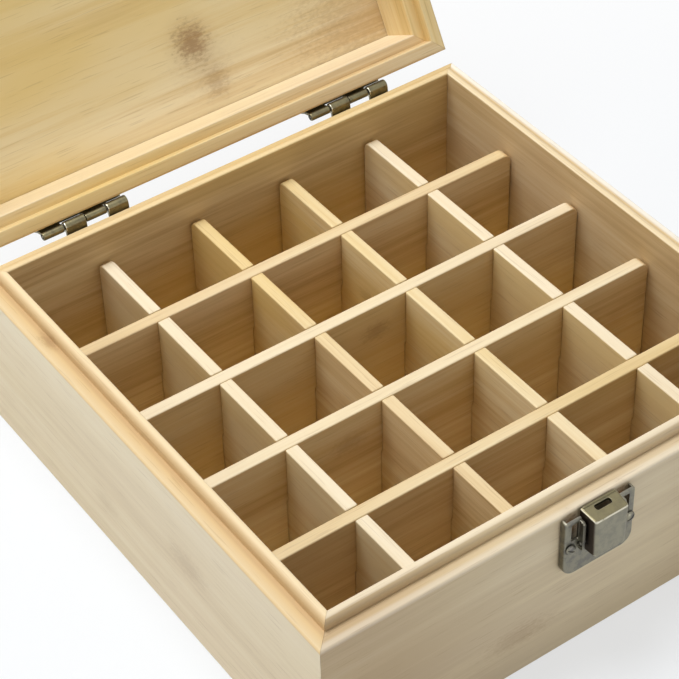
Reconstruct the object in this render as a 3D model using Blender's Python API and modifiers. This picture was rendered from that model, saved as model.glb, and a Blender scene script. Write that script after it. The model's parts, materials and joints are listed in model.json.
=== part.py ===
"""Square bamboo storage box for small bottles.

A tray of four mitred walls holds a lift-out grid of halved dividers that makes twenty-five
cells.  A lid of the same plan turns on two butt hinges at the back, and a lever latch on the
front wall takes the hooked strap of a keeper on the lid.  The lid stands open.
The origin is the centre of the underside, +X runs along the front wall, +Z is up.
"""
import math

import bmesh
import bpy
from mathutils import Matrix, Vector

# Driving sizes of the tray, in metres.
BOX_WIDTH = 0.1780
BOX_DEPTH = 0.1780
WALL_THICKNESS = 0.0080
WALL_HEIGHT = 0.0540
LIP_WIDTH = 0.0030
LIP_HEIGHT = 0.0035
LIP_OUTER_RADIUS = 0.0018
LIP_INNER_RADIUS = 0.0005
OUTER_EDGE_RADIUS = 0.0011
FOOT_EDGE_RADIUS = 0.0005
PANEL_THICKNESS = 0.0048
PANEL_LAP = 0.0040
PANEL_EDGE_RADIUS = 0.0003
CLEARANCE = 0.0003
MITRE_GAP = 0.0002

# Grid of dividers: the outer cells are a little wider, so the grid drops in freely.
CELLS_ACROSS = 5
CELLS_DEEP = 5
DIVIDER_THICKNESS = 0.0044
DIVIDER_TOP = 0.0460
DIVIDER_CORNER_RADIUS = 0.0030
OUTER_CELL_EXTRA = 0.0007
HALVING_CLEARANCE = 0.0003

# Lid.
LID_HEIGHT = 0.0250
LID_REBATE_WIDTH = 0.0035
LID_REBATE_DEPTH = 0.00395
LID_PANEL_THICKNESS = 0.0045
LID_TOP_RADIUS = 0.0015
LID_INNER_RADIUS = 0.0004
LID_OPEN_ANGLE = math.radians(120)

# Hinges: a barrel of four knuckles behind the back face, its axis just over the parting line.
# The lid's two knuckles are rolled tighter than the tray's.
HINGE_LENGTH = 0.0294
HINGE_INSET = 0.0401
HINGE_SETBACK = 0.0023
HINGE_RISE = 0.0010
KNUCKLE_COUNT = 4
KNUCKLE_GAP = 0.0003
TRAY_KNUCKLE_RADIUS = 0.0017
LID_KNUCKLE_RADIUS = 0.0013
HINGE_PIN_RADIUS = 0.0005
PIN_END_RADIUS = 0.0002
LEAF_THICKNESS = 0.0009
LEAF_HEIGHT = 0.0078
LEAF_CORNER_RADIUS = 0.0012
LEAF_NOTCH_CLEARANCE = 0.0015
LEAF_INSET = 0.0001
LEAF_SCREW_SPACING = 0.0190

# Round-head wood screws, one size throughout.
SCREW_HEAD_RADIUS = 0.0017
SCREW_HEAD_HEIGHT = 0.0009
SCREW_SHANK_RADIUS = 0.0007
SCREW_LENGTH = 0.0066
SCREW_POINT_LENGTH = 0.0018
SCREW_SLOT_WIDTH = 0.0004
SCREW_SLOT_DEPTH = 0.0004
PILOT_EXTRA = 0.0005

# Sheet-metal pans of the latch: the base plate on the tray and the keeper on the lid.
SHEET = 0.0008
PAN_DEPTH = 0.0022
PAN_WIDTH = 0.0240
PAN_CORNER_RADIUS = 0.0040
PAN_TOP_RADIUS = 0.0007
PAN_FOLD_RADIUS = 0.0006
BASE_PLATE_HEIGHT = 0.0206
BASE_PLATE_DROP = 0.0013
BASE_SCREW_SPACING = 0.0204
WINDOW_WIDTH = 0.0025
WINDOW_SETBACK = 0.0001
WINDOW_HEIGHT = 0.0063
WINDOW_DROP = 0.0011
WINDOW_TO_SCREW = 0.0026
KEEPER_HEIGHT = 0.0120
KEEPER_RISE = 0.0013
KEEPER_SCREW_RISE = 0.0066
KEEPER_SCREW_SPACING = 0.0170

# Lever, hollow and open at the back, with its pin through two ears of the base plate.
LEVER_WIDTH = 0.0124
LEVER_TAPER = 0.0004
LEVER_NOSE_TAPER = 0.0004
LEVER_REACH = 0.0073
LEVER_HEIGHT = 0.0135
LEVER_TOP_RISE = 0.0005
LEVER_TOP_FALL = 0.0008
LEVER_EDGE_RADIUS = 0.0006
LEVER_NOSE_RADIUS = 0.0012
LEVER_BACK_LAND = 0.0010
LEVER_BEAD_RADIUS = 0.0004
LEVER_BEAD_OVERHANG = 0.0002
LEVER_HEEL = 0.0010
LEVER_KNEE = 0.0006
LEVER_SIDE_CLEARANCE = 0.0004
LEVER_SLOT_LENGTH = 0.0054
LEVER_SLOT_RADIUS = 0.0006
LEVER_PIN_RADIUS = 0.0006
PIVOT_RISE = 0.0033
EAR_MARGIN = 0.0003
EAR_FOOT = 0.0020
EAR_CORNER_RADIUS = 0.0009
EAR_TRIM = 0.0002
BAY_DROP = 0.0029

# Hooked strap of the keeper.
STRAP_WIDTH = 0.0040
STRAP_THICKNESS = 0.0006
STRAP_SINK = 0.0001
STRAP_TOP_RISE = 0.0040
HOOK_REACH = 0.0006
HOOK_HEIGHT = 0.0009
HOOK_TIP_HEIGHT = 0.0002
SLOT_PLAY = 0.0004

# Working values: an overrun for every cutter, a weld distance and rounding steps.
OVERRUN = 0.0010
WELD = 0.000001
CORNER_STEPS = 5
BARREL_SIDES = 20
BORE_SIDES = 16
SCREW_SIDES = 12
DOME_STEPS = 3
SMOOTH_ANGLE = math.radians(35)
QUARTER = math.radians(90)

# Colours as seen, in sRGB, with roughness and metallic value.
BAMBOO_WALL = ((222, 200, 158), 0.55, 0.0)
BAMBOO_LIGHT = ((236, 212, 165), 0.55, 0.0)
BAMBOO_CELL = ((214, 178, 122), 0.60, 0.0)
BAMBOO_FLOOR = ((150, 108, 66), 0.65, 0.0)
BRONZE = ((138, 138, 114), 0.38, 1.0)
BRONZE_SCREW = ((120, 116, 96), 0.42, 1.0)
BRONZE_PIN = ((96, 92, 78), 0.45, 1.0)

# Places that follow from the sizes.
INNER_WIDTH = BOX_WIDTH - 2 * WALL_THICKNESS
INNER_DEPTH = BOX_DEPTH - 2 * WALL_THICKNESS
LID_BOTTOM = WALL_HEIGHT + CLEARANCE
AXIS_Y = BOX_DEPTH / 2 + HINGE_SETBACK
AXIS_Z = WALL_HEIGHT + HINGE_RISE
LEAF_BACK = -HINGE_SETBACK + CLEARANCE
LEAF_EDGE = TRAY_KNUCKLE_RADIUS + LEAF_NOTCH_CLEARANCE
LEAF_FAR = LEAF_EDGE + LEAF_HEIGHT
LEAF_SCREW_DROP = (LEAF_EDGE + LEAF_FAR) / 2
HINGE_PLACE = BOX_WIDTH / 2 - HINGE_INSET

# Latch places: "out" is the distance from the front face of the wood.
PAN_FRONT = CLEARANCE + PAN_DEPTH
STRAP_BACK = PAN_FRONT - STRAP_SINK
STRAP_FRONT = STRAP_BACK + STRAP_THICKNESS
HOOK_TIP = STRAP_FRONT + HOOK_REACH
SLOT_BACK = STRAP_BACK - CLEARANCE
SLOT_FRONT = HOOK_TIP + SLOT_PLAY
LEVER_BACK = SLOT_BACK - LEVER_BACK_LAND
PIVOT_OUT = PAN_FRONT + LEVER_PIN_RADIUS
PIVOT_HOLE_RADIUS = LEVER_PIN_RADIUS + CLEARANCE
EAR_FRONT = PIVOT_OUT + PIVOT_HOLE_RADIUS + EAR_MARGIN
EAR_INNER = LEVER_WIDTH / 2 + LEVER_SIDE_CLEARANCE
EAR_OUTER = EAR_INNER + SHEET
PLATE_TOP = WALL_HEIGHT - BASE_PLATE_DROP
BASE_SCREW_Z = PLATE_TOP - WINDOW_DROP - WINDOW_HEIGHT - WINDOW_TO_SCREW
LEVER_TOP_BACK = WALL_HEIGHT + LEVER_TOP_RISE
LEVER_TOP_FRONT = LEVER_TOP_BACK - LEVER_TOP_FALL
LEVER_BOTTOM = LEVER_TOP_FRONT - LEVER_HEIGHT
PIVOT_Z = LEVER_BOTTOM + PIVOT_RISE
KEEPER_BOTTOM = LID_BOTTOM + KEEPER_RISE
HOOK_TOP = LEVER_TOP_FRONT - SHEET


def linear(level):
    """One sRGB channel, 0 to 255, as a linear value."""
    share = level / 255
    if share <= 0.04045:
        return share / 12.92
    return ((share + 0.055) / 1.055) ** 2.4


def clear_scene():
    for item in list(bpy.data.objects):
        bpy.data.objects.remove(item, do_unlink=True)


def new_collection(name):
    group = bpy.data.collections.new(name)
    bpy.context.scene.collection.children.link(group)
    return group


def rounded(corners):
    """Points of an outline whose corners are (across, up, radius)."""
    points = []
    count = len(corners)
    for index, (across, up, radius) in enumerate(corners):
        here = Vector((across, up))
        if radius == 0:
            points.append(here)
            continue
        back = Vector(corners[index - 1][:2]) - here
        ahead = Vector(corners[(index + 1) % count][:2]) - here
        half = back.angle(ahead) / 2
        reach = radius / math.tan(half)
        centre = here + (back.normalized() + ahead.normalized()).normalized() * radius / math.sin(half)
        start = here + back.normalized() * reach - centre
        end = here + ahead.normalized() * reach - centre
        sweep = math.atan2(start.x * end.y - start.y * end.x, start.dot(end))
        for step in range(CORNER_STEPS + 1):
            turn = Matrix.Rotation(sweep * step / CORNER_STEPS, 2)
            points.append(centre + turn @ start)
    return points


def slab(name, corners, thickness):
    """Flat piece: an outline in X and Z, thick along Y and centred on it."""
    curve = bpy.data.curves.new(name, "CURVE")
    curve.dimensions = "2D"
    curve.fill_mode = "BOTH"
    curve.extrude = thickness / 2
    points = rounded(corners)
    spline = curve.splines.new("POLY")
    spline.points.add(len(points) - 1)
    for knot, point in zip(spline.points, points):
        knot.co = (point.x, point.y, 0, 1)
    spline.use_cyclic_u = True
    guide = bpy.data.objects.new(name, curve)
    bpy.context.scene.collection.objects.link(guide)
    bpy.context.view_layer.update()
    evaluated = guide.evaluated_get(bpy.context.evaluated_depsgraph_get())
    mesh = bpy.data.meshes.new_from_object(evaluated)
    bpy.data.objects.remove(guide)
    bpy.data.curves.remove(curve)
    edit = bmesh.new()
    edit.from_mesh(mesh)
    bmesh.ops.remove_doubles(edit, verts=edit.verts, dist=WELD)
    for face_z in (-thickness / 2, thickness / 2):
        cap = [face for face in edit.faces
               if all(abs(vert.co.z - face_z) < WELD for vert in face.verts)]
        bmesh.ops.dissolve_faces(edit, faces=cap)
    bmesh.ops.rotate(edit, verts=edit.verts, matrix=Matrix.Rotation(QUARTER, 3, "X"))
    bmesh.ops.recalc_face_normals(edit, faces=edit.faces)
    edit.to_mesh(mesh)
    edit.free()
    return mesh


def block(name, size, radius=0):
    """Box centred on its origin, its edges rounded where a radius is given."""
    edit = bmesh.new()
    bmesh.ops.create_cube(edit, size=1)
    bmesh.ops.scale(edit, vec=size, verts=edit.verts)
    if radius:
        bmesh.ops.bevel(edit, geom=edit.edges[:], offset=radius, offset_type="OFFSET",
                        segments=2, profile=0.5, affect="EDGES", material=-1)
    mesh = bpy.data.meshes.new(name)
    edit.to_mesh(mesh)
    edit.free()
    return mesh


def rod(name, radius, length, sides, end_radius=0):
    """Round bar along X, centred on its origin."""
    edit = bmesh.new()
    bmesh.ops.create_cone(edit, cap_ends=True, segments=sides, radius1=radius, radius2=radius,
                          depth=length)
    if end_radius:
        rims = [edge for edge in edit.edges if len(edge.link_faces[0].verts) != len(
            edge.link_faces[1].verts)]
        bmesh.ops.bevel(edit, geom=rims, offset=end_radius, offset_type="OFFSET", segments=2,
                        profile=0.5, affect="EDGES", material=-1)
    bmesh.ops.rotate(edit, verts=edit.verts, matrix=Matrix.Rotation(QUARTER, 3, "Y"))
    mesh = bpy.data.meshes.new(name)
    edit.to_mesh(mesh)
    edit.free()
    mesh.shade_smooth()
    mesh.set_sharp_from_angle(angle=SMOOTH_ANGLE)
    return mesh


def trim(mesh, point, normal):
    """Saw a mesh off at a plane and close the cut."""
    edit = bmesh.new()
    edit.from_mesh(mesh)
    bmesh.ops.bisect_plane(edit, geom=edit.verts[:] + edit.edges[:] + edit.faces[:], dist=WELD,
                           plane_co=point, plane_no=normal, clear_outer=True)
    rims = [edge for edge in edit.edges if edge.is_boundary]
    bmesh.ops.holes_fill(edit, edges=rims, sides=0)
    bmesh.ops.recalc_face_normals(edit, faces=edit.faces)
    edit.to_mesh(mesh)
    edit.free()


def fold_edges(mesh, depth, radius):
    """Round the outline edges of a slab on the side that lies at -Y."""
    edit = bmesh.new()
    edit.from_mesh(mesh)
    rims = [edge for edge in edit.edges
            if all(abs(vert.co.y + depth / 2) < WELD for vert in edge.verts)]
    bmesh.ops.bevel(edit, geom=rims, offset=radius, offset_type="OFFSET", segments=3,
                    profile=0.5, affect="EDGES", material=-1)
    edit.to_mesh(mesh)
    edit.free()


class Bench:
    """The two collections that hold the pieces and the shapes that cut them."""

    def __init__(self, name):
        self.parts = new_collection(name)
        self.tools = new_collection(name + "_cutters")

    def axis(self, name, location, rotation=(0, 0, 0)):
        """Empty on a joint's axis, which carries what turns there."""
        empty = bpy.data.objects.new(name, None)
        empty.location = location
        empty.rotation_euler = rotation
        self.parts.objects.link(empty)
        return empty

    def piece(self, name, mesh, look, location, rotation=(0, 0, 0), parent=None):
        """Named part with a material of its own."""
        colour, roughness, metallic = look
        material = bpy.data.materials.new(name + "_material")
        material.use_nodes = True
        surface = material.node_tree.nodes["Principled BSDF"]
        surface.inputs["Base Color"].default_value = (*map(linear, colour), 1)
        surface.inputs["Roughness"].default_value = roughness
        surface.inputs["Metallic"].default_value = metallic
        item = bpy.data.objects.new(name, mesh)
        if not mesh.materials:
            mesh.materials.append(material)
        item.material_slots[0].link = "OBJECT"
        item.material_slots[0].material = material
        item.location = location
        item.rotation_euler = rotation
        item.parent = parent
        self.parts.objects.link(item)
        return item

    def shape(self, target, mesh, operation, location, rotation=(0, 0, 0), parent=None):
        """Cut a shape out of a part, or join it on."""
        tool = bpy.data.objects.new(mesh.name, mesh)
        tool.location = location
        tool.rotation_euler = rotation
        tool.parent = parent
        tool.hide_render = True
        tool.display_type = "WIRE"
        self.tools.objects.link(tool)
        step = target.modifiers.new(mesh.name, "BOOLEAN")
        step.operation = operation
        step.solver = "EXACT"
        step.object = tool


def wall_profile():
    """Section of a tray wall: X outward from the inner face, Z up from the floor."""
    shoulder = PANEL_THICKNESS + CLEARANCE
    top = WALL_HEIGHT + LIP_HEIGHT
    return [(PANEL_LAP, 0, 0),
            (WALL_THICKNESS, 0, FOOT_EDGE_RADIUS),
            (WALL_THICKNESS, WALL_HEIGHT, OUTER_EDGE_RADIUS),
            (LIP_WIDTH, WALL_HEIGHT, 0),
            (LIP_WIDTH, top, LIP_OUTER_RADIUS),
            (0, top, LIP_INNER_RADIUS),
            (0, shoulder, 0),
            (PANEL_LAP, shoulder, 0)]


def rail_profile():
    """Section of a lid rail, closed: X outward from the inner face, Z up from the parting line."""
    shoulder = LID_HEIGHT - LID_PANEL_THICKNESS - CLEARANCE
    return [(LID_REBATE_WIDTH, 0, LID_INNER_RADIUS),
            (WALL_THICKNESS, 0, OUTER_EDGE_RADIUS),
            (WALL_THICKNESS, LID_HEIGHT, LID_TOP_RADIUS),
            (PANEL_LAP, LID_HEIGHT, 0),
            (PANEL_LAP, shoulder, 0),
            (0, shoulder, 0),
            (0, LID_REBATE_DEPTH, LID_INNER_RADIUS),
            (LID_REBATE_WIDTH, LID_REBATE_DEPTH, 0)]


def mitred(name, profile, outer_length):
    """A run of the profile along Y, sawn at 45 degrees at both ends."""
    mesh = slab(name, profile, outer_length)
    for side in (-1, 1):
        normal = Vector((-1, side, 0)).normalized()
        corner = Vector((WALL_THICKNESS, side * outer_length / 2, 0))
        trim(mesh, corner - normal * MITRE_GAP / 2, normal)
    return mesh


def frame_of_four(bench, stem, profile, look, base, parent=None):
    """Four mitred lengths round the box; returns them by side."""
    sides = {}
    for label, quarter in (("right", 0), ("back", 1), ("left", 2), ("front", 3)):
        across = quarter % 2 == 1
        outer_length = BOX_WIDTH if across else BOX_DEPTH
        inner = (INNER_DEPTH if across else INNER_WIDTH) / 2
        turn = quarter * QUARTER
        place = Vector((math.cos(turn) * inner, math.sin(turn) * inner, 0)) + base
        name = stem + "_" + label
        mesh = mitred(name, profile, outer_length)
        sides[label] = bench.piece(name, mesh, look, place, (0, 0, turn), parent)
    return sides


def panel(bench, name, thickness, look, centre_z, base, parent=None):
    """Board let into the rebates of the four sides."""
    spread = 2 * (PANEL_LAP - CLEARANCE)
    mesh = block(name, (INNER_WIDTH + spread, INNER_DEPTH + spread, thickness), PANEL_EDGE_RADIUS)
    return bench.piece(name, mesh, look, Vector((0, 0, centre_z)) + base, (0, 0, 0), parent)


def divider_places(inner, cells):
    """Centres of the dividers along one side of the tray."""
    pitch = (inner + DIVIDER_THICKNESS - 2 * OUTER_CELL_EXTRA) / cells
    return [(index - cells / 2) * pitch for index in range(1, cells)]


def divider_outline(length, crossings, slots_at_top):
    """Long board with a halving slot at each crossing, from its top or from its foot."""
    half = length / 2
    foot = PANEL_THICKNESS + CLEARANCE
    middle = (foot + DIVIDER_TOP) / 2
    reach = DIVIDER_THICKNESS / 2 + HALVING_CLEARANCE
    low = [(-half, foot, 0)]
    high = [(half, DIVIDER_TOP, DIVIDER_CORNER_RADIUS)]
    if slots_at_top:
        depth = middle - HALVING_CLEARANCE / 2
        for place in reversed(crossings):
            high += [(place + reach, DIVIDER_TOP, 0), (place + reach, depth, 0),
                     (place - reach, depth, 0), (place - reach, DIVIDER_TOP, 0)]
    else:
        depth = middle + HALVING_CLEARANCE / 2
        for place in crossings:
            low += [(place - reach, foot, 0), (place - reach, depth, 0),
                    (place + reach, depth, 0), (place + reach, foot, 0)]
    low.append((half, foot, 0))
    high.append((-half, DIVIDER_TOP, DIVIDER_CORNER_RADIUS))
    return low + high


def grid(bench):
    """Dividers along X are whole at the top; those along Y are slotted from the top."""
    across = divider_places(INNER_WIDTH, CELLS_ACROSS)
    deep = divider_places(INNER_DEPTH, CELLS_DEEP)
    length = INNER_WIDTH - 2 * CLEARANCE
    for index, place in enumerate(deep, 1):
        mesh = slab("divider_long", divider_outline(length, across, False), DIVIDER_THICKNESS)
        bench.piece("divider_long_%d" % index, mesh, BAMBOO_CELL, (0, place, 0))
    length = INNER_DEPTH - 2 * CLEARANCE
    for index, place in enumerate(across, 1):
        mesh = slab("divider_cross", divider_outline(length, deep, True), DIVIDER_THICKNESS)
        bench.piece("divider_cross_%d" % index, mesh, BAMBOO_CELL, (place, 0, 0), (0, 0, QUARTER))


def screw_mesh(bench):
    """Slotted round-head screw: head up +Z, the underside of its head at Z = 0."""
    profile = []
    for step in range(DOME_STEPS + 1):
        angle = QUARTER * step / DOME_STEPS
        profile.append((math.sin(angle) * SCREW_HEAD_RADIUS, math.cos(angle) * SCREW_HEAD_HEIGHT))
    profile += [(SCREW_SHANK_RADIUS, 0),
                (SCREW_SHANK_RADIUS, SCREW_POINT_LENGTH - SCREW_LENGTH),
                (0, -SCREW_LENGTH)]
    outline = bpy.data.meshes.new("screw_outline")
    edit = bmesh.new()
    knots = [edit.verts.new((across, 0, up)) for across, up in profile]
    for first, second in zip(knots, knots[1:]):
        edit.edges.new((first, second))
    edit.to_mesh(outline)
    edit.free()
    turned = bpy.data.objects.new("screw_pattern", outline)
    bench.tools.objects.link(turned)
    spin = turned.modifiers.new("turn", "SCREW")
    spin.steps = SCREW_SIDES
    spin.render_steps = SCREW_SIDES
    spin.use_merge_vertices = True
    spin.merge_threshold = WELD
    groove = block("screw_slot", (2 * SCREW_HEAD_RADIUS + OVERRUN, SCREW_SLOT_WIDTH,
                                  2 * SCREW_SLOT_DEPTH))
    knife = bpy.data.objects.new("screw_slot", groove)
    knife.location = (0, 0, SCREW_HEAD_HEIGHT)
    bench.tools.objects.link(knife)
    cut = turned.modifiers.new("slot", "BOOLEAN")
    cut.operation = "DIFFERENCE"
    cut.object = knife
    bpy.context.view_layer.update()
    evaluated = turned.evaluated_get(bpy.context.evaluated_depsgraph_get())
    mesh = bpy.data.meshes.new_from_object(evaluated)
    mesh.name = "screw"
    bpy.data.objects.remove(turned)
    bpy.data.objects.remove(knife)
    mesh.shade_smooth()
    mesh.set_sharp_from_angle(angle=SMOOTH_ANGLE)
    return mesh


class Screws:
    """Drives screws, each with its clearance hole in the metal and its pilot in the wood."""

    def __init__(self, bench):
        self.bench = bench
        self.mesh = screw_mesh(bench)
        self.hole_radius = SCREW_SHANK_RADIUS + CLEARANCE

    def drive(self, name, metal, wood, seat, face, spin, parent=None):
        """seat is the metal's outer face; face is -1 for the front of the box, 1 for the back."""
        tilt = Matrix.Rotation(-face * QUARTER, 3, "X") @ Matrix.Rotation(spin, 3, "Z")
        head = Vector(seat) + Vector((0, face * CLEARANCE, 0))
        self.bench.piece(name, self.mesh, BRONZE_SCREW, head, tilt.to_euler(), parent)
        depth = SCREW_LENGTH + PILOT_EXTRA
        middle = head - Vector((0, face * (depth - OVERRUN) / 2, 0))
        for target in (metal, wood):
            hole = rod(name + "_hole", self.hole_radius, depth + OVERRUN, SCREW_SIDES)
            self.bench.shape(target, hole, "DIFFERENCE", middle, (0, 0, QUARTER), parent)


def knuckle_spans():
    """Start and end of each knuckle along the barrel."""
    length = (HINGE_LENGTH - (KNUCKLE_COUNT - 1) * KNUCKLE_GAP) / KNUCKLE_COUNT
    starts = [-HINGE_LENGTH / 2 + index * (length + KNUCKLE_GAP) for index in range(KNUCKLE_COUNT)]
    return [(start, start + length) for start in starts]


def leaf(bench, name, first_knuckle, radius, upward, place, parent=None):
    """Hinge leaf with every second knuckle; its origin is the middle of the barrel's axis."""
    rise = 1 if upward else -1
    half = HINGE_LENGTH / 2 - LEAF_INSET
    outline = [(-half, rise * LEAF_EDGE, 0), (half, rise * LEAF_EDGE, 0),
               (half, rise * LEAF_FAR, LEAF_CORNER_RADIUS),
               (-half, rise * LEAF_FAR, LEAF_CORNER_RADIUS)]
    mesh = slab(name, outline, LEAF_THICKNESS)
    bmesh_shift(mesh, (0, LEAF_BACK + LEAF_THICKNESS / 2, 0))
    item = bench.piece(name, mesh, BRONZE, place, (0, 0, 0), parent)
    back, front = LEAF_BACK + LEAF_INSET, LEAF_BACK + LEAF_THICKNESS - LEAF_INSET
    root = rise * (LEAF_EDGE + LEAF_THICKNESS)
    bend = [(back, root, 0), (back, rise * LEAF_EDGE, 0), (LEAF_INSET - radius, 0, 0),
            (LEAF_THICKNESS - radius, 0, 0), (front, rise * LEAF_EDGE, 0), (front, root, 0)]
    for start, end in knuckle_spans()[first_knuckle::2]:
        centre = Vector(place) + Vector(((start + end) / 2, 0, 0))
        neck = slab(name + "_neck", bend, end - start - 2 * LEAF_INSET)
        bench.shape(item, neck, "UNION", centre, (0, 0, QUARTER), parent)
        barrel = rod(name + "_knuckle", radius, end - start, BARREL_SIDES)
        bench.shape(item, barrel, "UNION", centre, (0, 0, 0), parent)
    bore = rod(name + "_bore", HINGE_PIN_RADIUS + CLEARANCE, HINGE_LENGTH + OVERRUN, BORE_SIDES)
    bench.shape(item, bore, "DIFFERENCE", place, (0, 0, 0), parent)
    return item


def bmesh_shift(mesh, offset):
    """Move a mesh against its origin."""
    edit = bmesh.new()
    edit.from_mesh(mesh)
    bmesh.ops.translate(edit, verts=edit.verts, vec=offset)
    edit.to_mesh(mesh)
    edit.free()


def hinge(bench, screws, label, centre_x, tray_back, lid_back, lid_axis):
    """Butt hinge: leaf on the tray, leaf on the lid, pin and four screws."""
    stem = "hinge_" + label
    on_tray = leaf(bench, stem + "_box_leaf", 1, TRAY_KNUCKLE_RADIUS, False,
                   (centre_x, AXIS_Y, AXIS_Z))
    on_lid = leaf(bench, stem + "_lid_leaf", 0, LID_KNUCKLE_RADIUS, True, (centre_x, 0, 0),
                  lid_axis)
    pin = rod(stem + "_pin", HINGE_PIN_RADIUS, HINGE_LENGTH, BORE_SIDES, PIN_END_RADIUS)
    bench.piece(stem + "_pin", pin, BRONZE_PIN, (centre_x, AXIS_Y, AXIS_Z))
    outer = LEAF_BACK + LEAF_THICKNESS
    for index, side in enumerate((-1, 1), 1):
        across = centre_x + side * LEAF_SCREW_SPACING / 2
        spin = QUARTER * (index + side * centre_x / BOX_WIDTH) / 2
        low = (across, AXIS_Y + outer, AXIS_Z - LEAF_SCREW_DROP)
        high = (across, outer, LEAF_SCREW_DROP)
        screws.drive("screw_%s_box_%d" % (stem, index), on_tray, tray_back, low, 1, spin)
        screws.drive("screw_%s_lid_%d" % (stem, index), on_lid, lid_back, high, 1, -spin, lid_axis)


def pan(name, height, hangs):
    """Shallow folded pan, open along one edge: its origin is the middle of that edge.

    hangs is -1 for a pan below its open edge and 1 for one above it.  Y = 0 is the wood.
    """
    half = PAN_WIDTH / 2
    corners = [(-half, 0, PAN_TOP_RADIUS), (half, 0, PAN_TOP_RADIUS),
               (half, hangs * height, PAN_CORNER_RADIUS), (-half, hangs * height, PAN_CORNER_RADIUS)]
    mesh = slab(name, corners, PAN_DEPTH)
    fold_edges(mesh, PAN_DEPTH, PAN_FOLD_RADIUS)
    bmesh_shift(mesh, (0, -CLEARANCE - PAN_DEPTH / 2, 0))
    inner = half - SHEET
    radius = PAN_CORNER_RADIUS - SHEET
    far = hangs * (height - SHEET)
    hollow = [(-inner, -hangs * OVERRUN, 0), (inner, -hangs * OVERRUN, 0),
              (inner, far, radius), (-inner, far, radius)]
    inside = slab(name + "_hollow", hollow, PAN_DEPTH - SHEET + OVERRUN)
    bmesh_shift(inside, (0, -CLEARANCE - (PAN_DEPTH - SHEET - OVERRUN) / 2, 0))
    return mesh, inside


def base_plate(bench):
    """Latch plate on the tray: pan, lever bay, two ears, two windows and the pin's holes."""
    origin = Vector((0, -BOX_DEPTH / 2, PLATE_TOP))
    mesh, inside = pan("latch_base_plate", BASE_PLATE_HEIGHT, -1)
    item = bench.piece("latch_base_plate", mesh, BRONZE, origin)
    bench.shape(item, inside, "DIFFERENCE", origin)
    ear_low = PIVOT_Z - EAR_FOOT
    ear_high = PLATE_TOP - PAN_TOP_RADIUS
    root = PAN_FRONT - SHEET / 2
    for side in (-1, 1):
        outline = [(-EAR_FRONT, ear_low, EAR_CORNER_RADIUS), (-root, ear_low, 0),
                   (-root, ear_high, 0), (-EAR_FRONT, ear_high, EAR_CORNER_RADIUS)]
        ear = slab("latch_ear", outline, SHEET + EAR_TRIM)
        middle = side * (EAR_OUTER - (SHEET + EAR_TRIM) / 2)
        bench.shape(item, ear, "UNION", (middle, -BOX_DEPTH / 2, 0), (0, 0, QUARTER))
    bay_low = PIVOT_Z - BAY_DROP
    bay_high = PLATE_TOP + OVERRUN
    bay = block("latch_bay", (2 * EAR_INNER, 2 * EAR_FRONT + OVERRUN, bay_high - bay_low))
    bench.shape(item, bay, "DIFFERENCE", (0, -BOX_DEPTH / 2, (bay_low + bay_high) / 2))
    for side in (-1, 1):
        window = block("latch_window", (WINDOW_WIDTH, 2 * PAN_FRONT + OVERRUN, WINDOW_HEIGHT))
        across = side * (EAR_OUTER + WINDOW_SETBACK + WINDOW_WIDTH / 2)
        up = PLATE_TOP - WINDOW_DROP - WINDOW_HEIGHT / 2
        bench.shape(item, window, "DIFFERENCE", (across, -BOX_DEPTH / 2, up))
    hole = rod("latch_pin_hole", PIVOT_HOLE_RADIUS, 2 * (EAR_OUTER + CLEARANCE), BORE_SIDES)
    bench.shape(item, hole, "DIFFERENCE", (0, -BOX_DEPTH / 2 - PIVOT_OUT, PIVOT_Z))
    return item


def lever_form(name, inset, overrun):
    """Outline of the lever against its pivot, shrunk by inset and run on past its open back.

    The top falls forward, and the sides draw in to the front and to the foot.
    """
    back = PIVOT_OUT - LEVER_BACK
    depth = LEVER_REACH - LEVER_BACK
    height = LEVER_TOP_BACK - LEVER_BOTTOM
    edit = bmesh.new()
    bmesh.ops.create_cube(edit, size=2)
    for vert in edit.verts:
        side, aft, above = vert.co
        vert.co.y = back + overrun if aft > 0 else back - depth + inset
        forward = (back - vert.co.y) / depth
        if above > 0:
            vert.co.z = LEVER_TOP_BACK - PIVOT_Z - inset - LEVER_TOP_FALL * forward
        else:
            vert.co.z = LEVER_BOTTOM - PIVOT_Z + inset
        drop = (LEVER_TOP_BACK - PIVOT_Z - vert.co.z) / height
        vert.co.x = side * (LEVER_WIDTH / 2 - inset - LEVER_TAPER * drop - LEVER_NOSE_TAPER * forward)
    if not inset:
        nose = [edge for edge in edit.edges if edge.verts[0].co.y < 0 and edge.verts[1].co.y < 0
                and edge.verts[0].co.x * edge.verts[1].co.x > 0]
        bmesh.ops.bevel(edit, geom=nose, offset=LEVER_NOSE_RADIUS, offset_type="OFFSET",
                        segments=4, profile=0.5, affect="EDGES", material=-1)
        rims = [edge for edge in edit.edges if edge.calc_face_angle() > SMOOTH_ANGLE
                and not all(vert.co.y > 0 for vert in edge.verts)]
        bmesh.ops.bevel(edit, geom=rims, offset=LEVER_EDGE_RADIUS, offset_type="OFFSET",
                        segments=3, profile=0.5, affect="EDGES", material=-1)
    mesh = bpy.data.meshes.new(name)
    edit.to_mesh(mesh)
    edit.free()
    return mesh


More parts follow.
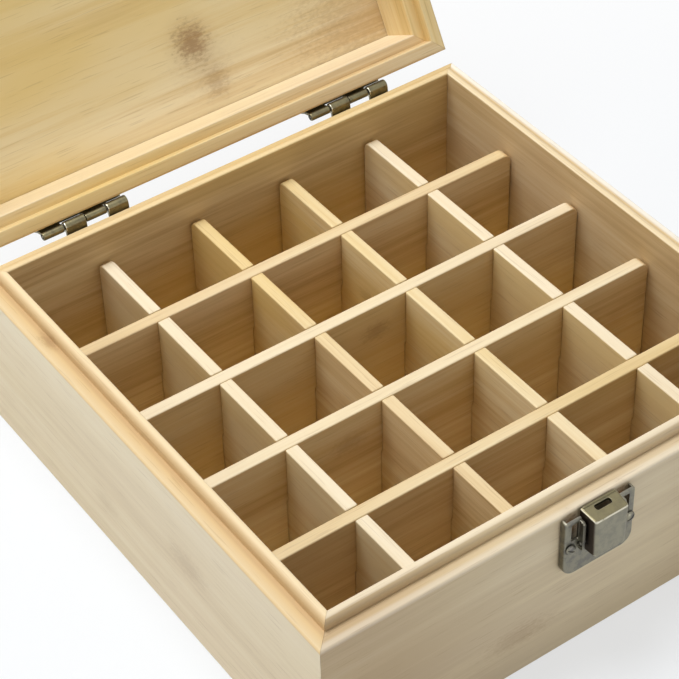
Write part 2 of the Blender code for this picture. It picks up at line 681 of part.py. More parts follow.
def lever(bench, axis):
    """Hollow lever, open at the back, its back corner cut away to swing clear of the plate."""
    item = bench.piece("latch_lever", lever_form("latch_lever", 0, 0), BRONZE, (0, 0, 0),
                       (0, 0, 0), axis)
    back = PIVOT_OUT - LEVER_BACK
    heel = PIVOT_OUT - PAN_FRONT - LEVER_HEEL
    low = LEVER_BOTTOM - PIVOT_Z
    top_back = LEVER_TOP_BACK - PIVOT_Z
    corner = [(back + OVERRUN, -LEVER_KNEE, 0), (back + OVERRUN, low - OVERRUN, 0),
              (heel, low - OVERRUN, 0), (heel, low, 0), (back, -LEVER_KNEE, 0)]
    wedge = slab("lever_corner", corner, LEVER_WIDTH + OVERRUN)
    bench.shape(item, wedge, "DIFFERENCE", (0, 0, 0), (0, 0, QUARTER), axis)
    cavity = lever_form("lever_hollow", SHEET, OVERRUN)
    bench.shape(item, cavity, "DIFFERENCE", (0, 0, 0), (0, 0, 0), axis)
    bead = rod("lever_bead", LEVER_BEAD_RADIUS, LEVER_WIDTH - 2 * LEVER_EDGE_RADIUS, SCREW_SIDES)
    bead_place = (0, back - LEVER_BEAD_RADIUS + LEVER_BEAD_OVERHANG, top_back)
    bench.shape(item, bead, "UNION", bead_place, (0, 0, 0), axis)
    half = LEVER_SLOT_LENGTH / 2
    slot_y = PIVOT_OUT - (SLOT_FRONT + SLOT_BACK) / 2
    reach = (SLOT_FRONT - SLOT_BACK) / 2
    opening = [(-half, -reach, LEVER_SLOT_RADIUS), (half, -reach, LEVER_SLOT_RADIUS),
               (half, reach, LEVER_SLOT_RADIUS), (-half, reach, LEVER_SLOT_RADIUS)]
    slot = slab("lever_slot", opening, 2 * (SHEET + OVERRUN))
    bench.shape(item, slot, "DIFFERENCE", (0, slot_y, top_back), (QUARTER, 0, 0), axis)
    hole = rod("lever_pin_hole", PIVOT_HOLE_RADIUS, LEVER_WIDTH + OVERRUN, BORE_SIDES)
    bench.shape(item, hole, "DIFFERENCE", (0, 0, 0), (0, 0, 0), axis)
    return item


def keeper(bench, lid_axis, base):
    """Plate on the lid's front with the hooked strap that enters the lever's slot."""
    origin = Vector((0, -BOX_DEPTH / 2, KEEPER_BOTTOM)) + base
    mesh, inside = pan("keeper_plate", KEEPER_HEIGHT, 1)
    item = bench.piece("keeper_plate", mesh, BRONZE, origin, (0, 0, 0), lid_axis)
    bench.shape(item, inside, "DIFFERENCE", origin, (0, 0, 0), lid_axis)
    low = HOOK_TOP - HOOK_HEIGHT
    high = KEEPER_BOTTOM + STRAP_TOP_RISE
    outline = [(-STRAP_BACK, low, 0), (-STRAP_BACK, high, 0),
               (-STRAP_FRONT, high - STRAP_THICKNESS, 0), (-STRAP_FRONT, HOOK_TOP, 0),
               (-HOOK_TIP, HOOK_TOP, 0), (-HOOK_TIP, HOOK_TOP - HOOK_TIP_HEIGHT, 0),
               (-STRAP_FRONT, low, 0)]
    strap = slab("keeper_strap", outline, STRAP_WIDTH)
    place = Vector((0, -BOX_DEPTH / 2, 0)) + base
    bench.shape(item, strap, "UNION", place, (0, 0, QUARTER), lid_axis)
    return item


def build():
    clear_scene()
    bench = Bench("essential_oil_storage_box")
    screws = Screws(bench)

    tray = frame_of_four(bench, "wall", wall_profile(), BAMBOO_WALL, Vector((0, 0, 0)))
    panel(bench, "bottom_panel", PANEL_THICKNESS, BAMBOO_FLOOR, PANEL_THICKNESS / 2,
          Vector((0, 0, 0)))
    grid(bench)

    lid_axis = bench.axis("lid_axis", (0, AXIS_Y, AXIS_Z), (-LID_OPEN_ANGLE, 0, 0))
    closed = Vector((0, -AXIS_Y, LID_BOTTOM - AXIS_Z))
    lid = frame_of_four(bench, "lid", rail_profile(), BAMBOO_LIGHT, closed, lid_axis)
    panel(bench, "lid_panel", LID_PANEL_THICKNESS, BAMBOO_LIGHT,
          LID_HEIGHT - LID_PANEL_THICKNESS / 2, closed, lid_axis)

    for label, side in (("left", -1), ("right", 1)):
        hinge(bench, screws, label, side * HINGE_PLACE, tray["back"], lid["back"], lid_axis)

    plate = base_plate(bench)
    lever_axis = bench.axis("lever_axis", (0, -BOX_DEPTH / 2 - PIVOT_OUT, PIVOT_Z))
    lever(bench, lever_axis)
    pin = rod("latch_pin", LEVER_PIN_RADIUS, 2 * EAR_OUTER, BORE_SIDES)
    bench.piece("latch_pin", pin, BRONZE_PIN, (0, -BOX_DEPTH / 2 - PIVOT_OUT, PIVOT_Z))
    in_lid = Vector((0, -AXIS_Y, -AXIS_Z))
    catch = keeper(bench, lid_axis, in_lid)
    seat_y = -BOX_DEPTH / 2 - PAN_FRONT
    for index, side in enumerate((-1, 1), 1):
        seat = Vector((side * BASE_SCREW_SPACING / 2, seat_y, BASE_SCREW_Z))
        spin = QUARTER / 3 * side
        screws.drive("screw_latch_%d" % index, plate, tray["front"], seat, -1, -spin)
        seat = Vector((side * KEEPER_SCREW_SPACING / 2, seat_y, KEEPER_BOTTOM + KEEPER_SCREW_RISE))
        screws.drive("screw_keeper_%d" % index, catch, lid["front"], seat + in_lid, -1, spin,
                     lid_axis)


build()
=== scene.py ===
"""Looks of a square bamboo bottle box with an open lid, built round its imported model.

Every piece is modelled in the box's own frame, in metres: the origin is the centre of the
underside, +X runs along the front wall and +Z is up.  Lid pieces are modelled shut and then
turned open with the lid.
"""
import json
import math

import bmesh
import bpy
from bpy.props import FloatProperty, FloatVectorProperty, IntProperty, PointerProperty
from bpy.types import Operator, Panel, PropertyGroup
from mathutils import Matrix, Vector


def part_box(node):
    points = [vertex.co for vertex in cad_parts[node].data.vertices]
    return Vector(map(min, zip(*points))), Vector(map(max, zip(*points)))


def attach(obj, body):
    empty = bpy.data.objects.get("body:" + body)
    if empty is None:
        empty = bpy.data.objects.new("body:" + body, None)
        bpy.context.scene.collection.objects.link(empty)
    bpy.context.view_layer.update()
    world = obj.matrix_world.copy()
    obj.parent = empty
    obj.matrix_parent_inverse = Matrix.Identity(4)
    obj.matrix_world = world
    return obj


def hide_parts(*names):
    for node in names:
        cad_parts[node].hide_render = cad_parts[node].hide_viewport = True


bl_info = {
    "name": "Bamboo Bottle Box",
    "version": (1, 0, 0),
    "blender": (4, 5, 0),
    "location": "View3D > Sidebar > Bottle Box",
    "description": "Models and finishes a square bamboo box with dividers, hinges and a latch",
    "category": "Object",
}

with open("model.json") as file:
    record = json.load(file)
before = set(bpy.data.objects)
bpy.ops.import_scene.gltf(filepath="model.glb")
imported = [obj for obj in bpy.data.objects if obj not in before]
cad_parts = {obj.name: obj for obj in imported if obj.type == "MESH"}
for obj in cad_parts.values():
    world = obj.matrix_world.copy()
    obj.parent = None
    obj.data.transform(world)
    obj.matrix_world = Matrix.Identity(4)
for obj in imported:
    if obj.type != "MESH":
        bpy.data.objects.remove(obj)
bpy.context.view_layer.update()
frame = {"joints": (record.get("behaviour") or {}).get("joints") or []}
TRAY_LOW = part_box("wall_left")[0]
LID_JOINT, LEVER_JOINT = (next(joint for joint in frame["joints"] if joint["child"] == body)
                          for body in ("lid", "lever"))
LID_AXIS, LEVER_AXIS = (Vector(joint["pos_m"]) for joint in (LID_JOINT, LEVER_JOINT))
# Takes a piece from the shut lid to the lid as shown.
LID_OPEN = (Matrix.Translation(LID_AXIS)
            @ Matrix.Rotation(math.radians(LID_JOINT["range_deg"][0]), 4, "X")
            @ Matrix.Translation(-LID_AXIS))

QUARTER = math.radians(90)
FLAT, SHARP, SMOOTH, CREASE = (math.radians(angle) for angle in (0.05, 28, 40, 50))
HAIR = 0.000001
OVERRUN = 0.001
FOLD_STEPS, ARC_STEPS, CORNER_STEPS = 5, 8, 12
BEAD_STEPS, SCREW_STEPS, ROUND_STEPS = 20, 32, 40

# Small sizes of the metalwork, in metres.
LEAF_WORN, SCREW_WORN, PIN_CAP, WELD = 0.00012, 0.00008, 0.0002, 0.0001
OPEN_CORNER, BEAD, FILM_DROP = 0.0007, 0.0004, 0.0002
EAR_ROUND, EAR_DROP, BAY_DROP = 0.0009, 0.0020, 0.0029
WEDGE_DROP, WEDGE_REACH = 0.0006, 0.0010
SLOT_CORNER, SLOT_REACH = 0.0007, 0.00305
STRAP, STRAP_WIDTH, HOOK_HEIGHT, HOOK_EDGE = 0.0006, 0.0040, 0.0009, 0.0002
KEEPER_SCREWS, KEEPER_SCREW_RISE = 0.0170, 0.0066

# Shares of a size, or of a quarter turn.
UNDERSIZE, WAIST, PIN_END, BEAD_END, SLOT_TURN = 0.9, 0.3, 0.7, 0.6, 0.27

# Waves per metre of each pattern along the fibres and across them, detail and roughness.
FIBRES, THREADS = ((11, 430, 430), 5, 0.62), ((34, 1900, 1900), 2, 0.5)
BANDS, DRIFTS = ((4, 85, 85), 2, 0.5, 0.3), ((7, 22, 22), 2, 0.5)
DASHES, RAGGED = ((75, 2100, 2100), 1, 0.4), ((500, 1100, 1100), 3, 0.7)
CLOUDS, SPECKS = ((420, 420, 420), 4, 0.6), ((2600, 2600, 2600), 3, 0.6)

# Where the wood's colour and its painted light and shade change: beyond the inner faces, below
# an upper edge or the ledge, towards the painted highlight on the outer edge, up a wall and
# towards its ends, in metres.
FACE_NEAR, FACE_FAR = 0.0001, 0.0006
CREST_FACE, CREST_LOW, CREST_HIGH, NO_CREST = 0.0005, 0.0004, 0.0001, 1.0
LEDGE_LOW, LEDGE_HIGH, LEDGE_UNDER, LEDGE_OVER = 0.0013, 0.0003, 0.0006, 0.0010
GLARE_NEAR, GLARE_FAR = 0.0052, 0.0066
LIFT_LOW, LIFT_HIGH, ENDS_FROM = 0.022, 0.052, 0.015

WHITE, FLOOR_TINT = (1, 1, 1, 1), (0.78, 0.83, 0.88, 1)
# Where the floor turns white behind the box and away from it, in metres.
BEHIND, AWAY = (-0.15, 0.30), (0.25, 0.9)
# Diameter, place and target of each lamp, in metres.
LAMPS = {"overhead": (0.7, (-0.2, 0.35, 1.25), (0, 0, 0.03)),
         "window": (0.9, (-1.3, 0.3, 0.5), (0, 0, 0.05)),
         "front": (0.8, (0.2, -1.5, 0.45), (0, 0, 0.05))}


def length(label, about, default):
    """A length in metres, as a setting of the add-on."""
    return FloatProperty(name=label, description=about, default=default, min=0, precision=5,
                         unit="LENGTH")


def tint(label, about, default):
    """An sRGB colour given in levels from 0 to 255, as a setting of the add-on."""
    return FloatVectorProperty(name=label, description=about, subtype="COLOR_GAMMA", size=3,
                               min=0, max=1, default=[level / 255 for level in default])


def power(label, about, default):
    """A lamp's power in watts, as a setting of the add-on."""
    return FloatProperty(name=label, description=about, default=default, unit="POWER")


class TraySizes(PropertyGroup):
    """Sizes of the tray and of the dividers in it."""
    side: length("Side", "Outer length of one side of the square tray", -2 * TRAY_LOW.x)
    wall: length("Wall", "Thickness of the walls and of the lid's rails", 0.0080)
    height: length("Wall height", "Height of the ledge on which the lid closes", 0.0540)
    lip: length("Lip", "Width of the raised lip inside the ledge", 0.0030)
    lip_rise: length("Lip rise", "Height of the lip over the ledge", 0.0035)
    lip_outer: length("Lip outer radius", "Rounding of the lip towards the ledge", 0.0018)
    lip_inner: length("Lip inner radius", "Rounding of the lip towards the cells", 0.0005)
    edge: length("Edge radius", "Rounding of the outer edge of the ledge", 0.0008)
    foot: length("Foot radius", "Rounding of the lower outer edge", 0.0005)
    floor: length("Floor", "Thickness of the bottom board", 0.0048)
    lap: length("Lap", "Depth to which a board is let into the sides", 0.0040)
    play: length("Play", "Gap between pieces that lie against each other", 0.0003)
    mitre: length("Mitre joint", "Gap in the mitred corners", 0.00006)
    divider: length("Divider", "Thickness of a divider", 0.0041)
    divider_top: length("Divider top", "Height of the dividers' upper edge", 0.0460)
    divider_corner: length("Divider corner", "Rounding of a divider's upper corners", 0.0030)
    divider_edge: length("Divider edge", "Rounding along a divider's edges", 0.00045)
    near_play: length("Tight side", "Gap on the tight side of a halving joint", 0.00006)
    far_play: length("Loose side", "Gap on the loose side of a halving joint", 0.0002)
    outer_cell: length("Outer cell", "Extra width of the cells along the walls", 0.0007)
    cells: IntProperty(name="Cells", description="Cells along one side of the tray", default=5,
                       min=1)


class LidSizes(PropertyGroup):
    """Sizes of the lid."""
    height: length("Height", "Height of the lid", 0.0250)
    rebate: length("Rebate", "Width of the rebate that takes the lip", 0.0035)
    rebate_rise: length("Rebate depth", "Depth of the rebate that takes the lip", 0.00395)
    board: length("Board", "Thickness of the lid's board", 0.0045)
    top_edge: length("Top edge radius", "Rounding of the lid's upper edge", 0.0015)
    fine_edge: length("Fine edge radius", "Rounding of the rebate's edges", 0.0004)


class HingeSizes(PropertyGroup):
    """Sizes of the two butt hinges."""
    span: length("Length", "Length of the barrel", 0.0294)
    inset: length("Inset", "Distance of a hinge's middle from the side of the box", 0.0401)
    gap: length("Knuckle gap", "Gap between two knuckles", 0.0003)
    tray_barrel: length("Tray knuckles", "Outer radius of the tray's knuckles", 0.0017)
    lid_barrel: length("Lid knuckles", "Outer radius of the lid's knuckles", 0.0013)
    rounding: length("Knuckle rounding", "Rounding of a knuckle's ends", 0.00035)
    bore: length("Bore radius", "Inner radius of the knuckles", 0.0008)
    pin: length("Pin radius", "Radius of the pin", 0.0005)
    leaf: length("Leaf thickness", "Thickness of the sheet", 0.0009)
    leaf_height: length("Leaf height", "Height of a leaf below its edge", 0.0078)
    leaf_corner: length("Leaf corner", "Rounding of a leaf's corners", 0.0012)
    leaf_edge: length("Leaf edge", "Distance of a leaf's edge from the barrel's axis", 0.0032)
    screws: length("Screw spacing", "Distance between a leaf's two screws", 0.0190)
    knuckles: IntProperty(name="Knuckles", description="Knuckles in one barrel", default=4, min=2)


class LatchSizes(PropertyGroup):
    """Sizes of the latch plate, the lever and the keeper."""
    sheet: length("Sheet", "Thickness of the sheet metal", 0.0008)
    depth: length("Depth", "Depth of a folded plate", 0.0022)
    width: length("Width", "Width of a folded plate", 0.0240)
    corner: length("Corner radius", "Rounding of a plate's two far corners", 0.0040)
    fold: length("Fold radius", "Rounding where the sheet is folded", 0.0006)
    plate_drop: length("Plate drop", "Distance from the ledge down to the plate", 0.0013)
    plate_height: length("Plate height", "Height of the latch plate", 0.0206)
    window_width: length("Window width", "Width of the opening beside an ear", 0.0025)
    window_height: length("Window height", "Height of the opening beside an ear", 0.0063)
    window_drop: length("Window drop", "Distance from the plate's edge to an opening", 0.0011)
    screw_drop: length("Screw drop", "Distance from an opening to the screw below it", 0.0026)
    screws: length("Screw spacing", "Distance between the plate's screws", 0.0204)
    keeper_rise: length("Keeper rise", "Distance from the lid's edge to the keeper", 0.0013)
    keeper_height: length("Keeper height", "Height of the keeper", 0.0120)
    lever_width: length("Lever width", "Width of the lever at its back", 0.0124)
    lever_front: length("Lever reach", "Distance of the lever's front from the wood", 0.0073)
    lever_back: length("Lever back", "Distance of the lever's back from the wood", 0.0011)
    lever_top: length("Lever top", "Height of the lever's top over the ledge", 0.0005)
    lever_fall: length("Lever fall", "Fall of the lever's top towards the front", 0.0008)
    lever_height: length("Lever height", "Height of the lever's front", 0.0135)
    lever_taper: length("Lever taper", "How far each side draws in to the foot and front", 0.0004)
    nose: length("Nose radius", "Rounding of the lever's upright front edges", 0.0012)
    rim: length("Rim radius", "Rounding of the lever's other edges", 0.0006)
    slot_length: length("Slot length", "Length of the slot that takes the hook", 0.0054)
    slot_width: length("Slot width", "Width of the slot that takes the hook", 0.0019)
    pin: length("Pin radius", "Radius of the lever's pin", 0.0006)
    play: length("Play", "Gap at each side of the lever", 0.0004)
    worn: length("Worn edge", "Width of the bright line along an edge", 0.00016)


class ScrewSizes(PropertyGroup):
    """Sizes of the round-head wood screws."""
    head: length("Head radius", "Radius of the head", 0.0017)
    dome: length("Head height", "Height of the head", 0.0009)
    shank: length("Shank radius", "Radius of the shank", 0.0007)
    span: length("Length", "Length of the shank", 0.0066)
    point: length("Point", "Length of the pointed end", 0.0018)
    slot: length("Slot width", "Width of the driver's slot", 0.0004)


class Finishes(PropertyGroup):
    """Colours of the wood and of the metal, and the painted light and shade on them."""
    pale: tint("Pale bamboo", "Lightest fibres", (240, 223, 182))
    straw: tint("Straw bamboo", "Usual colour of the fibres", (225, 199, 148))
    tan: tint("Tan bamboo", "Darkest fibres", (196, 164, 110))
    honey: tint("Honey bamboo", "Yellow drift across a board", (228, 198, 124))
    blush: tint("Blush bamboo", "Pinkish drift across a board", (232, 203, 168))
    dry: tint("Dry bamboo", "Greyer outside of the walls", (214, 200, 174))
    # Crest and cream pale the upper edges: partly a paler edge, partly a painted highlight; crest
    # also paints the highlight on the lip's top.
    crest: tint("Sawn edge", "Pale upper edges", (238, 215, 171))
    cream: tint("Divider top", "Creamy upper edges of some dividers", (247, 233, 206))
    ledge: tint("Ledge", "The ledge outside the lip", (224, 199, 153))
    # Painted highlight on the ledge's outer edge.
    glare: tint("Glare", "Bleached outer edge of the right wall", (255, 251, 240))
    # Painted shade at the foot of the lip.
    groove: tint("Groove", "Darker line at the foot of the lip", (198, 162, 108))
    seam: tint("Seam", "Warm tan between the rim's pale lines", (216, 183, 126))
    # Painted shade: inside the tray, towards the front wall's ends and on the lid's edges that lie
    # on the ledge.
    deep: tint("Depth of the cells", "Browner faces inside the tray", (188, 161, 128))
    # Also the colour of the painted shadow behind the latch plate's openings.
    knot: tint("Bamboo node", "Dark marks where the cane had a node", (134, 90, 40))
    bronze: tint("Bronze", "Plain faces of the metal", (145, 141, 122))
    patina: tint("Patina", "Dull patches on the metal", (103, 101, 97))
    bright: tint("Bright bronze", "Edges from which the patina is rubbed", (208, 203, 184))
    olive: tint("Olive film", "Film over the hinges and the lever's top", (223, 216, 192))
    # Painted dark reflection on the lever's sides.
    soot: tint("Dark film", "Film over the lever's sides", (150, 138, 142))


class StageSettings(PropertyGroup):
    """Camera, lamps and floor."""
    eye: FloatVectorProperty(name="Camera place", description="Where the camera stands",
                             subtype="TRANSLATION", unit="LENGTH", precision=5,
                             default=(-0.29500534, -0.40323032, 0.5033408))
    gaze: FloatVectorProperty(name="Camera turn", description="How the camera is turned",
                              subtype="EULER", unit="ROTATION",
                              default=[math.radians(angle) for angle in
                                       (47.50396325, 1.27974467, -35.51925739)])
    lens: FloatProperty(name="Lens", description="Focal length on a 36 mm sensor, in millimetres",
                        default=124.0639, unit="CAMERA")
    daylight: FloatProperty(name="Daylight", description="Strength of the even light", default=0.29)
    overhead: power("Overhead lamp", "Power of the lamp above", 13.0)
    window: power("Side lamp", "Power of the lamp at the left", 4.3)
    front: power("Front lamp", "Power of the low lamp in front", 3.4)
    paper: FloatProperty(name="Paper white", description="How white the floor looks in itself",
                         default=0.60, min=0, max=1)


def settings(group):
    """The add-on's settings of one group."""
    return getattr(bpy.context.scene, "bottle_box_" + group)


# Modelling

def board(corners, thickness, steps=ARC_STEPS):
    """A flat outline in X and Z with rounded corners, drawn out along Y and centred on it."""
    shape = bmesh.new()
    shape.faces.new([shape.verts.new((across, -thickness / 2, up)) for across, up, _ in corners])
    for radius in sorted({corner[2] for corner in corners} - {0}):
        spots = [Vector((across, -thickness / 2, up)) for across, up, own in corners
                 if own == radius]
        picks = [vert for vert in shape.verts
                 if any((vert.co - spot).length < HAIR for spot in spots)]
        bmesh.ops.bevel(shape, geom=picks, offset=radius, offset_type="OFFSET", segments=steps,
                        profile=0.5, affect="VERTICES", material=-1)
    grown = bmesh.ops.extrude_face_region(shape, geom=shape.faces[:])["geom"]
    bmesh.ops.translate(shape, vec=(0, thickness, 0),
                        verts=[part for part in grown if isinstance(part, bmesh.types.BMVert)])
    bmesh.ops.recalc_face_normals(shape, faces=shape.faces)
    return shape


def plate(half, foot, top, thickness, foot_round=0, top_round=0, steps=ARC_STEPS):
    """A board from -half to half, with one rounding at its foot and one at its top."""
    return board([(-half, foot, foot_round), (half, foot, foot_round), (half, top, top_round),
                  (-half, top, top_round)], thickness, steps)


def block(size):
    """A plain block centred on the origin."""
    shape = bmesh.new()
    bmesh.ops.create_cube(shape, size=1)
    bmesh.ops.scale(shape, vec=size, verts=shape.verts)
    return shape


def turned(profile, steps=ROUND_STEPS, ring=False):
    """A profile of (along, radius) turned round the X axis; a ring's profile is closed."""
    shape = bmesh.new()
    knots = [shape.verts.new((along, 0, radius)) for along, radius in profile]
    after = knots[1:] + knots[:1] if ring else knots[1:]
    lines = [shape.edges.new(pair) for pair in zip(knots, after)]
    bmesh.ops.spin(shape, geom=knots + lines, cent=(0, 0, 0), axis=(1, 0, 0),
                   angle=4 * QUARTER, steps=steps, use_merge=True)
    bmesh.ops.remove_doubles(shape, verts=shape.verts, dist=HAIR)
    bmesh.ops.recalc_face_normals(shape, faces=shape.faces)
    return shape


def knuckle(half, outer, inner, rounding):
    """A tube along X with eased ends."""
    waist = WAIST * rounding
    return turned([(-half, inner), (-half, outer - rounding), (waist - half, outer - waist),
                   (rounding - half, outer), (half - rounding, outer),
                   (half - waist, outer - waist), (half, outer - rounding), (half, inner)],
                  ring=True)


def rod(half, radius, cap=PIN_CAP, share=PIN_END, steps=ROUND_STEPS):
    """A rod along X that narrows over each cap to a share of its radius."""
    return turned([(-half, 0), (-half, share * radius), (cap - half, radius),
                   (half - cap, radius), (half, share * radius), (half, 0)], steps)


def drill(half, radius):
    """A plain bar along X that cuts a bore."""
    return turned([(-half, 0), (-half, radius), (half, radius), (half, 0)])


def moved(shape, place):
    """The shape, put in place."""
    bmesh.ops.transform(shape, matrix=place, verts=shape.verts)
    return shape


def at(x, y, z):
    return Matrix.Translation((x, y, z))


def turn(angle, axis):
    return Matrix.Rotation(angle, 4, axis)


def saw(shape, point, normal):
    """Saws a shape off at a plane and closes the cut."""
    bmesh.ops.bisect_plane(shape, geom=shape.verts[:] + shape.edges[:] + shape.faces[:],
                           dist=HAIR, plane_co=point, plane_no=normal, clear_outer=True)
    bmesh.ops.holes_fill(shape, edges=[edge for edge in shape.edges if edge.is_boundary], sides=0)
    bmesh.ops.recalc_face_normals(shape, faces=shape.faces)


def as_object(name, shape):
    """A new object in the scene that takes over the shape."""
    mesh = bpy.data.meshes.new(name)
    shape.to_mesh(mesh)
    shape.free()
    item = bpy.data.objects.new(name, mesh)
    bpy.context.scene.collection.objects.link(item)
    return item


def carved(blank, tool, operation="DIFFERENCE"):
    """A shape with another cut out of it or welded on."""
    pair = [as_object("blank", shape) for shape in (blank, tool)]
    step = pair[0].modifiers.new("cut", "BOOLEAN")
    step.operation = operation
    step.solver = "EXACT"
    step.object = pair[1]
    bpy.context.view_layer.update()
    evaluated = pair[0].evaluated_get(bpy.context.evaluated_depsgraph_get())
    result = bmesh.new()
    result.from_mesh(evaluated.to_mesh())
    evaluated.to_mesh_clear()
    bmesh.ops.remove_doubles(result, verts=result.verts, dist=HAIR)
    bmesh.ops.dissolve_degenerate(result, edges=result.edges, dist=HAIR)
    for item in pair:
        mesh = item.data
        bpy.data.objects.remove(item)
        bpy.data.meshes.remove(mesh)
    return result


def ease(shape, width, steps=2, pick=None, angle=SHARP, worn=True, lean=1.1):
    """Rounds the sharp edges, or those picked, and marks the new faces as worn.

    With lean below 1, faces that look along an axis more than that aren't marked.
    """
    bmesh.ops.dissolve_limit(shape, angle_limit=FLAT, verts=shape.verts, edges=shape.edges,
                             delimit=set())
    edges = [edge for edge in shape.edges if edge.is_manifold
             and abs(edge.calc_face_angle()) > angle and (pick is None or pick(edge))]
    wear = shape.faces.layers.float.get("wear") or shape.faces.layers.float.new("wear")
    made = bmesh.ops.bevel(shape, geom=edges, offset=width, offset_type="OFFSET", segments=steps,
                           profile=0.5, affect="EDGES", clamp_overlap=True, material=-1)
    if worn:
        shape.normal_update()
        for face in made["faces"]:
            if max(map(abs, face.normal)) < lean:
                face[wear] = 1
    bmesh.ops.remove_doubles(shape, verts=shape.verts, dist=HAIR)
    bmesh.ops.dissolve_degenerate(shape, edges=shape.edges, dist=HAIR)
    return shape


def piece(name, shape, finish, body, slot, *nodes):
    """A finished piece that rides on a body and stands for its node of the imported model."""
    if body == "lid":
        moved(shape, LID_OPEN)
    item = as_object(name, shape)
    item.data.shade_smooth()
    item.data.set_sharp_from_angle(angle=SMOOTH)
    item.data.materials.append(finish)
    shading = item.modifiers.new("even_shading", "WEIGHTED_NORMAL")
    shading.mode = "FACE_AREA"
    shading.weight = 100
    shading.keep_sharp = True
    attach(item, body)
    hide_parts(*nodes)


def metal_piece(name, shape, finish, body, node):
    piece(name, shape, finish, body, "antique_bronze", node)


# Finishes

def feed(tree, socket, value):
    """Gives a socket a wire or a value."""
    if isinstance(value, Wire):
        tree.links.new(value.socket, socket)
    else:
        socket.default_value = value


class Wire:
    """A node's output that does sums: an operator adds a Math node."""

    def __init__(self, tree, socket):
        self.tree = tree
        self.socket = socket

    def sum(self, operation, first, second):
        node = self.tree.nodes.new("ShaderNodeMath")
        node.operation = operation
        for socket, value in zip(node.inputs, (first, second)):
            feed(self.tree, socket, value)
        return Wire(self.tree, node.outputs[0])

    def __add__(self, other):
        return self.sum("ADD", self, other)

    def __radd__(self, other):
        return self.sum("ADD", other, self)

    def __sub__(self, other):
        return self.sum("SUBTRACT", self, other)

    def __rsub__(self, other):
        return self.sum("SUBTRACT", other, self)

    def __mul__(self, other):
        return self.sum("MULTIPLY", self, other)

    def __rmul__(self, other):
        return self.sum("MULTIPLY", other, self)


class Finish:
    """A material under way."""

    def __init__(self, name):
        self.material = bpy.data.materials.new(name)
        self.material.use_nodes = True
        self.tree = self.material.node_tree
        self.shader = self.tree.nodes["Principled BSDF"]
        self.place = self.add("ShaderNodeTexCoord", out="Object")

    def add(self, kind, choices=None, sockets=None, out=0):
        """Adds a node: first its settings, then its sockets' values or wires."""
        node = self.tree.nodes.new(kind)
        for key, value in (choices or {}).items():
            if key == "stops":
                ramp = node.color_ramp
                while len(ramp.elements) < len(value):
                    ramp.elements.new(1)
                for knot, (place, colour) in zip(ramp.elements, value):
                    knot.position = place
                    knot.color = self.colour(colour)
            else:
                setattr(node, key, value)
        for key, value in (sockets or {}).items():
            feed(self.tree, node.inputs[key], value)
        return Wire(self.tree, node.outputs[out])

    def set(self, **sockets):
        """Values or wires for the shader's own sockets, spaces in their names as _."""
        for key, value in sockets.items():
            feed(self.tree, self.shader.inputs[key.replace("_", " ")], value)

    def colour(self, name):
        """A colour of the add-on's settings as the shader's linear colour."""
        return [*(level / 12.92 if level <= 0.04045 else ((level + 0.055) / 1.055) ** 2.4
                  for level in getattr(settings("finishes"), name)), 1]

    def over(self, base, colour, share, blend="MIX"):
        """A share of a wire or of a named colour, over the base."""
        if isinstance(colour, str):
            colour = self.colour(colour)
        return self.add("ShaderNodeMix", {"data_type": "RGBA", "blend_type": blend},
                        {0: share, 6: base, 7: colour}, 2)

    def ramp(self, value, *stops):
        """Named colours at their places from 0 to 1."""
        return self.add("ShaderNodeValToRGB", {"stops": stops}, {"Fac": value})

    def vector(self, operation, first, *second, out=0):
        return self.add("ShaderNodeVectorMath", {"operation": operation},
                        dict(enumerate((first, *second))), out)

    def axis(self, value, name):
        return self.add("ShaderNodeSeparateXYZ", {}, {"Vector": value}, name)

    def mark(self, name):
        """What the mesh says of each face."""
        return self.add("ShaderNodeAttribute",
                        {"attribute_type": "GEOMETRY", "attribute_name": name}, out="Fac")

    def noise(self, place, stretch, detail, rough, warp=0):
        """A pattern with so many waves per metre along each axis, from 0 to 1."""
        return self.add("ShaderNodeTexNoise", {},
                        {"Vector": self.vector("MULTIPLY", place, stretch), "Scale": 1,
                         "Detail": detail, "Roughness": rough, "Distortion": warp})

    def ease(self, value, low, high):
        """A value taken from low to high into 0 to 1 with soft ends."""
        return self.add("ShaderNodeMapRange", {"interpolation_type": "SMOOTHSTEP"},
                        {"Value": value, "From Min": low, "From Max": high})

    def bump(self, height, strength, distance):
        self.set(Normal=self.add("ShaderNodeBump", {}, {"Height": height, "Strength": strength,
                                                        "Distance": distance}))


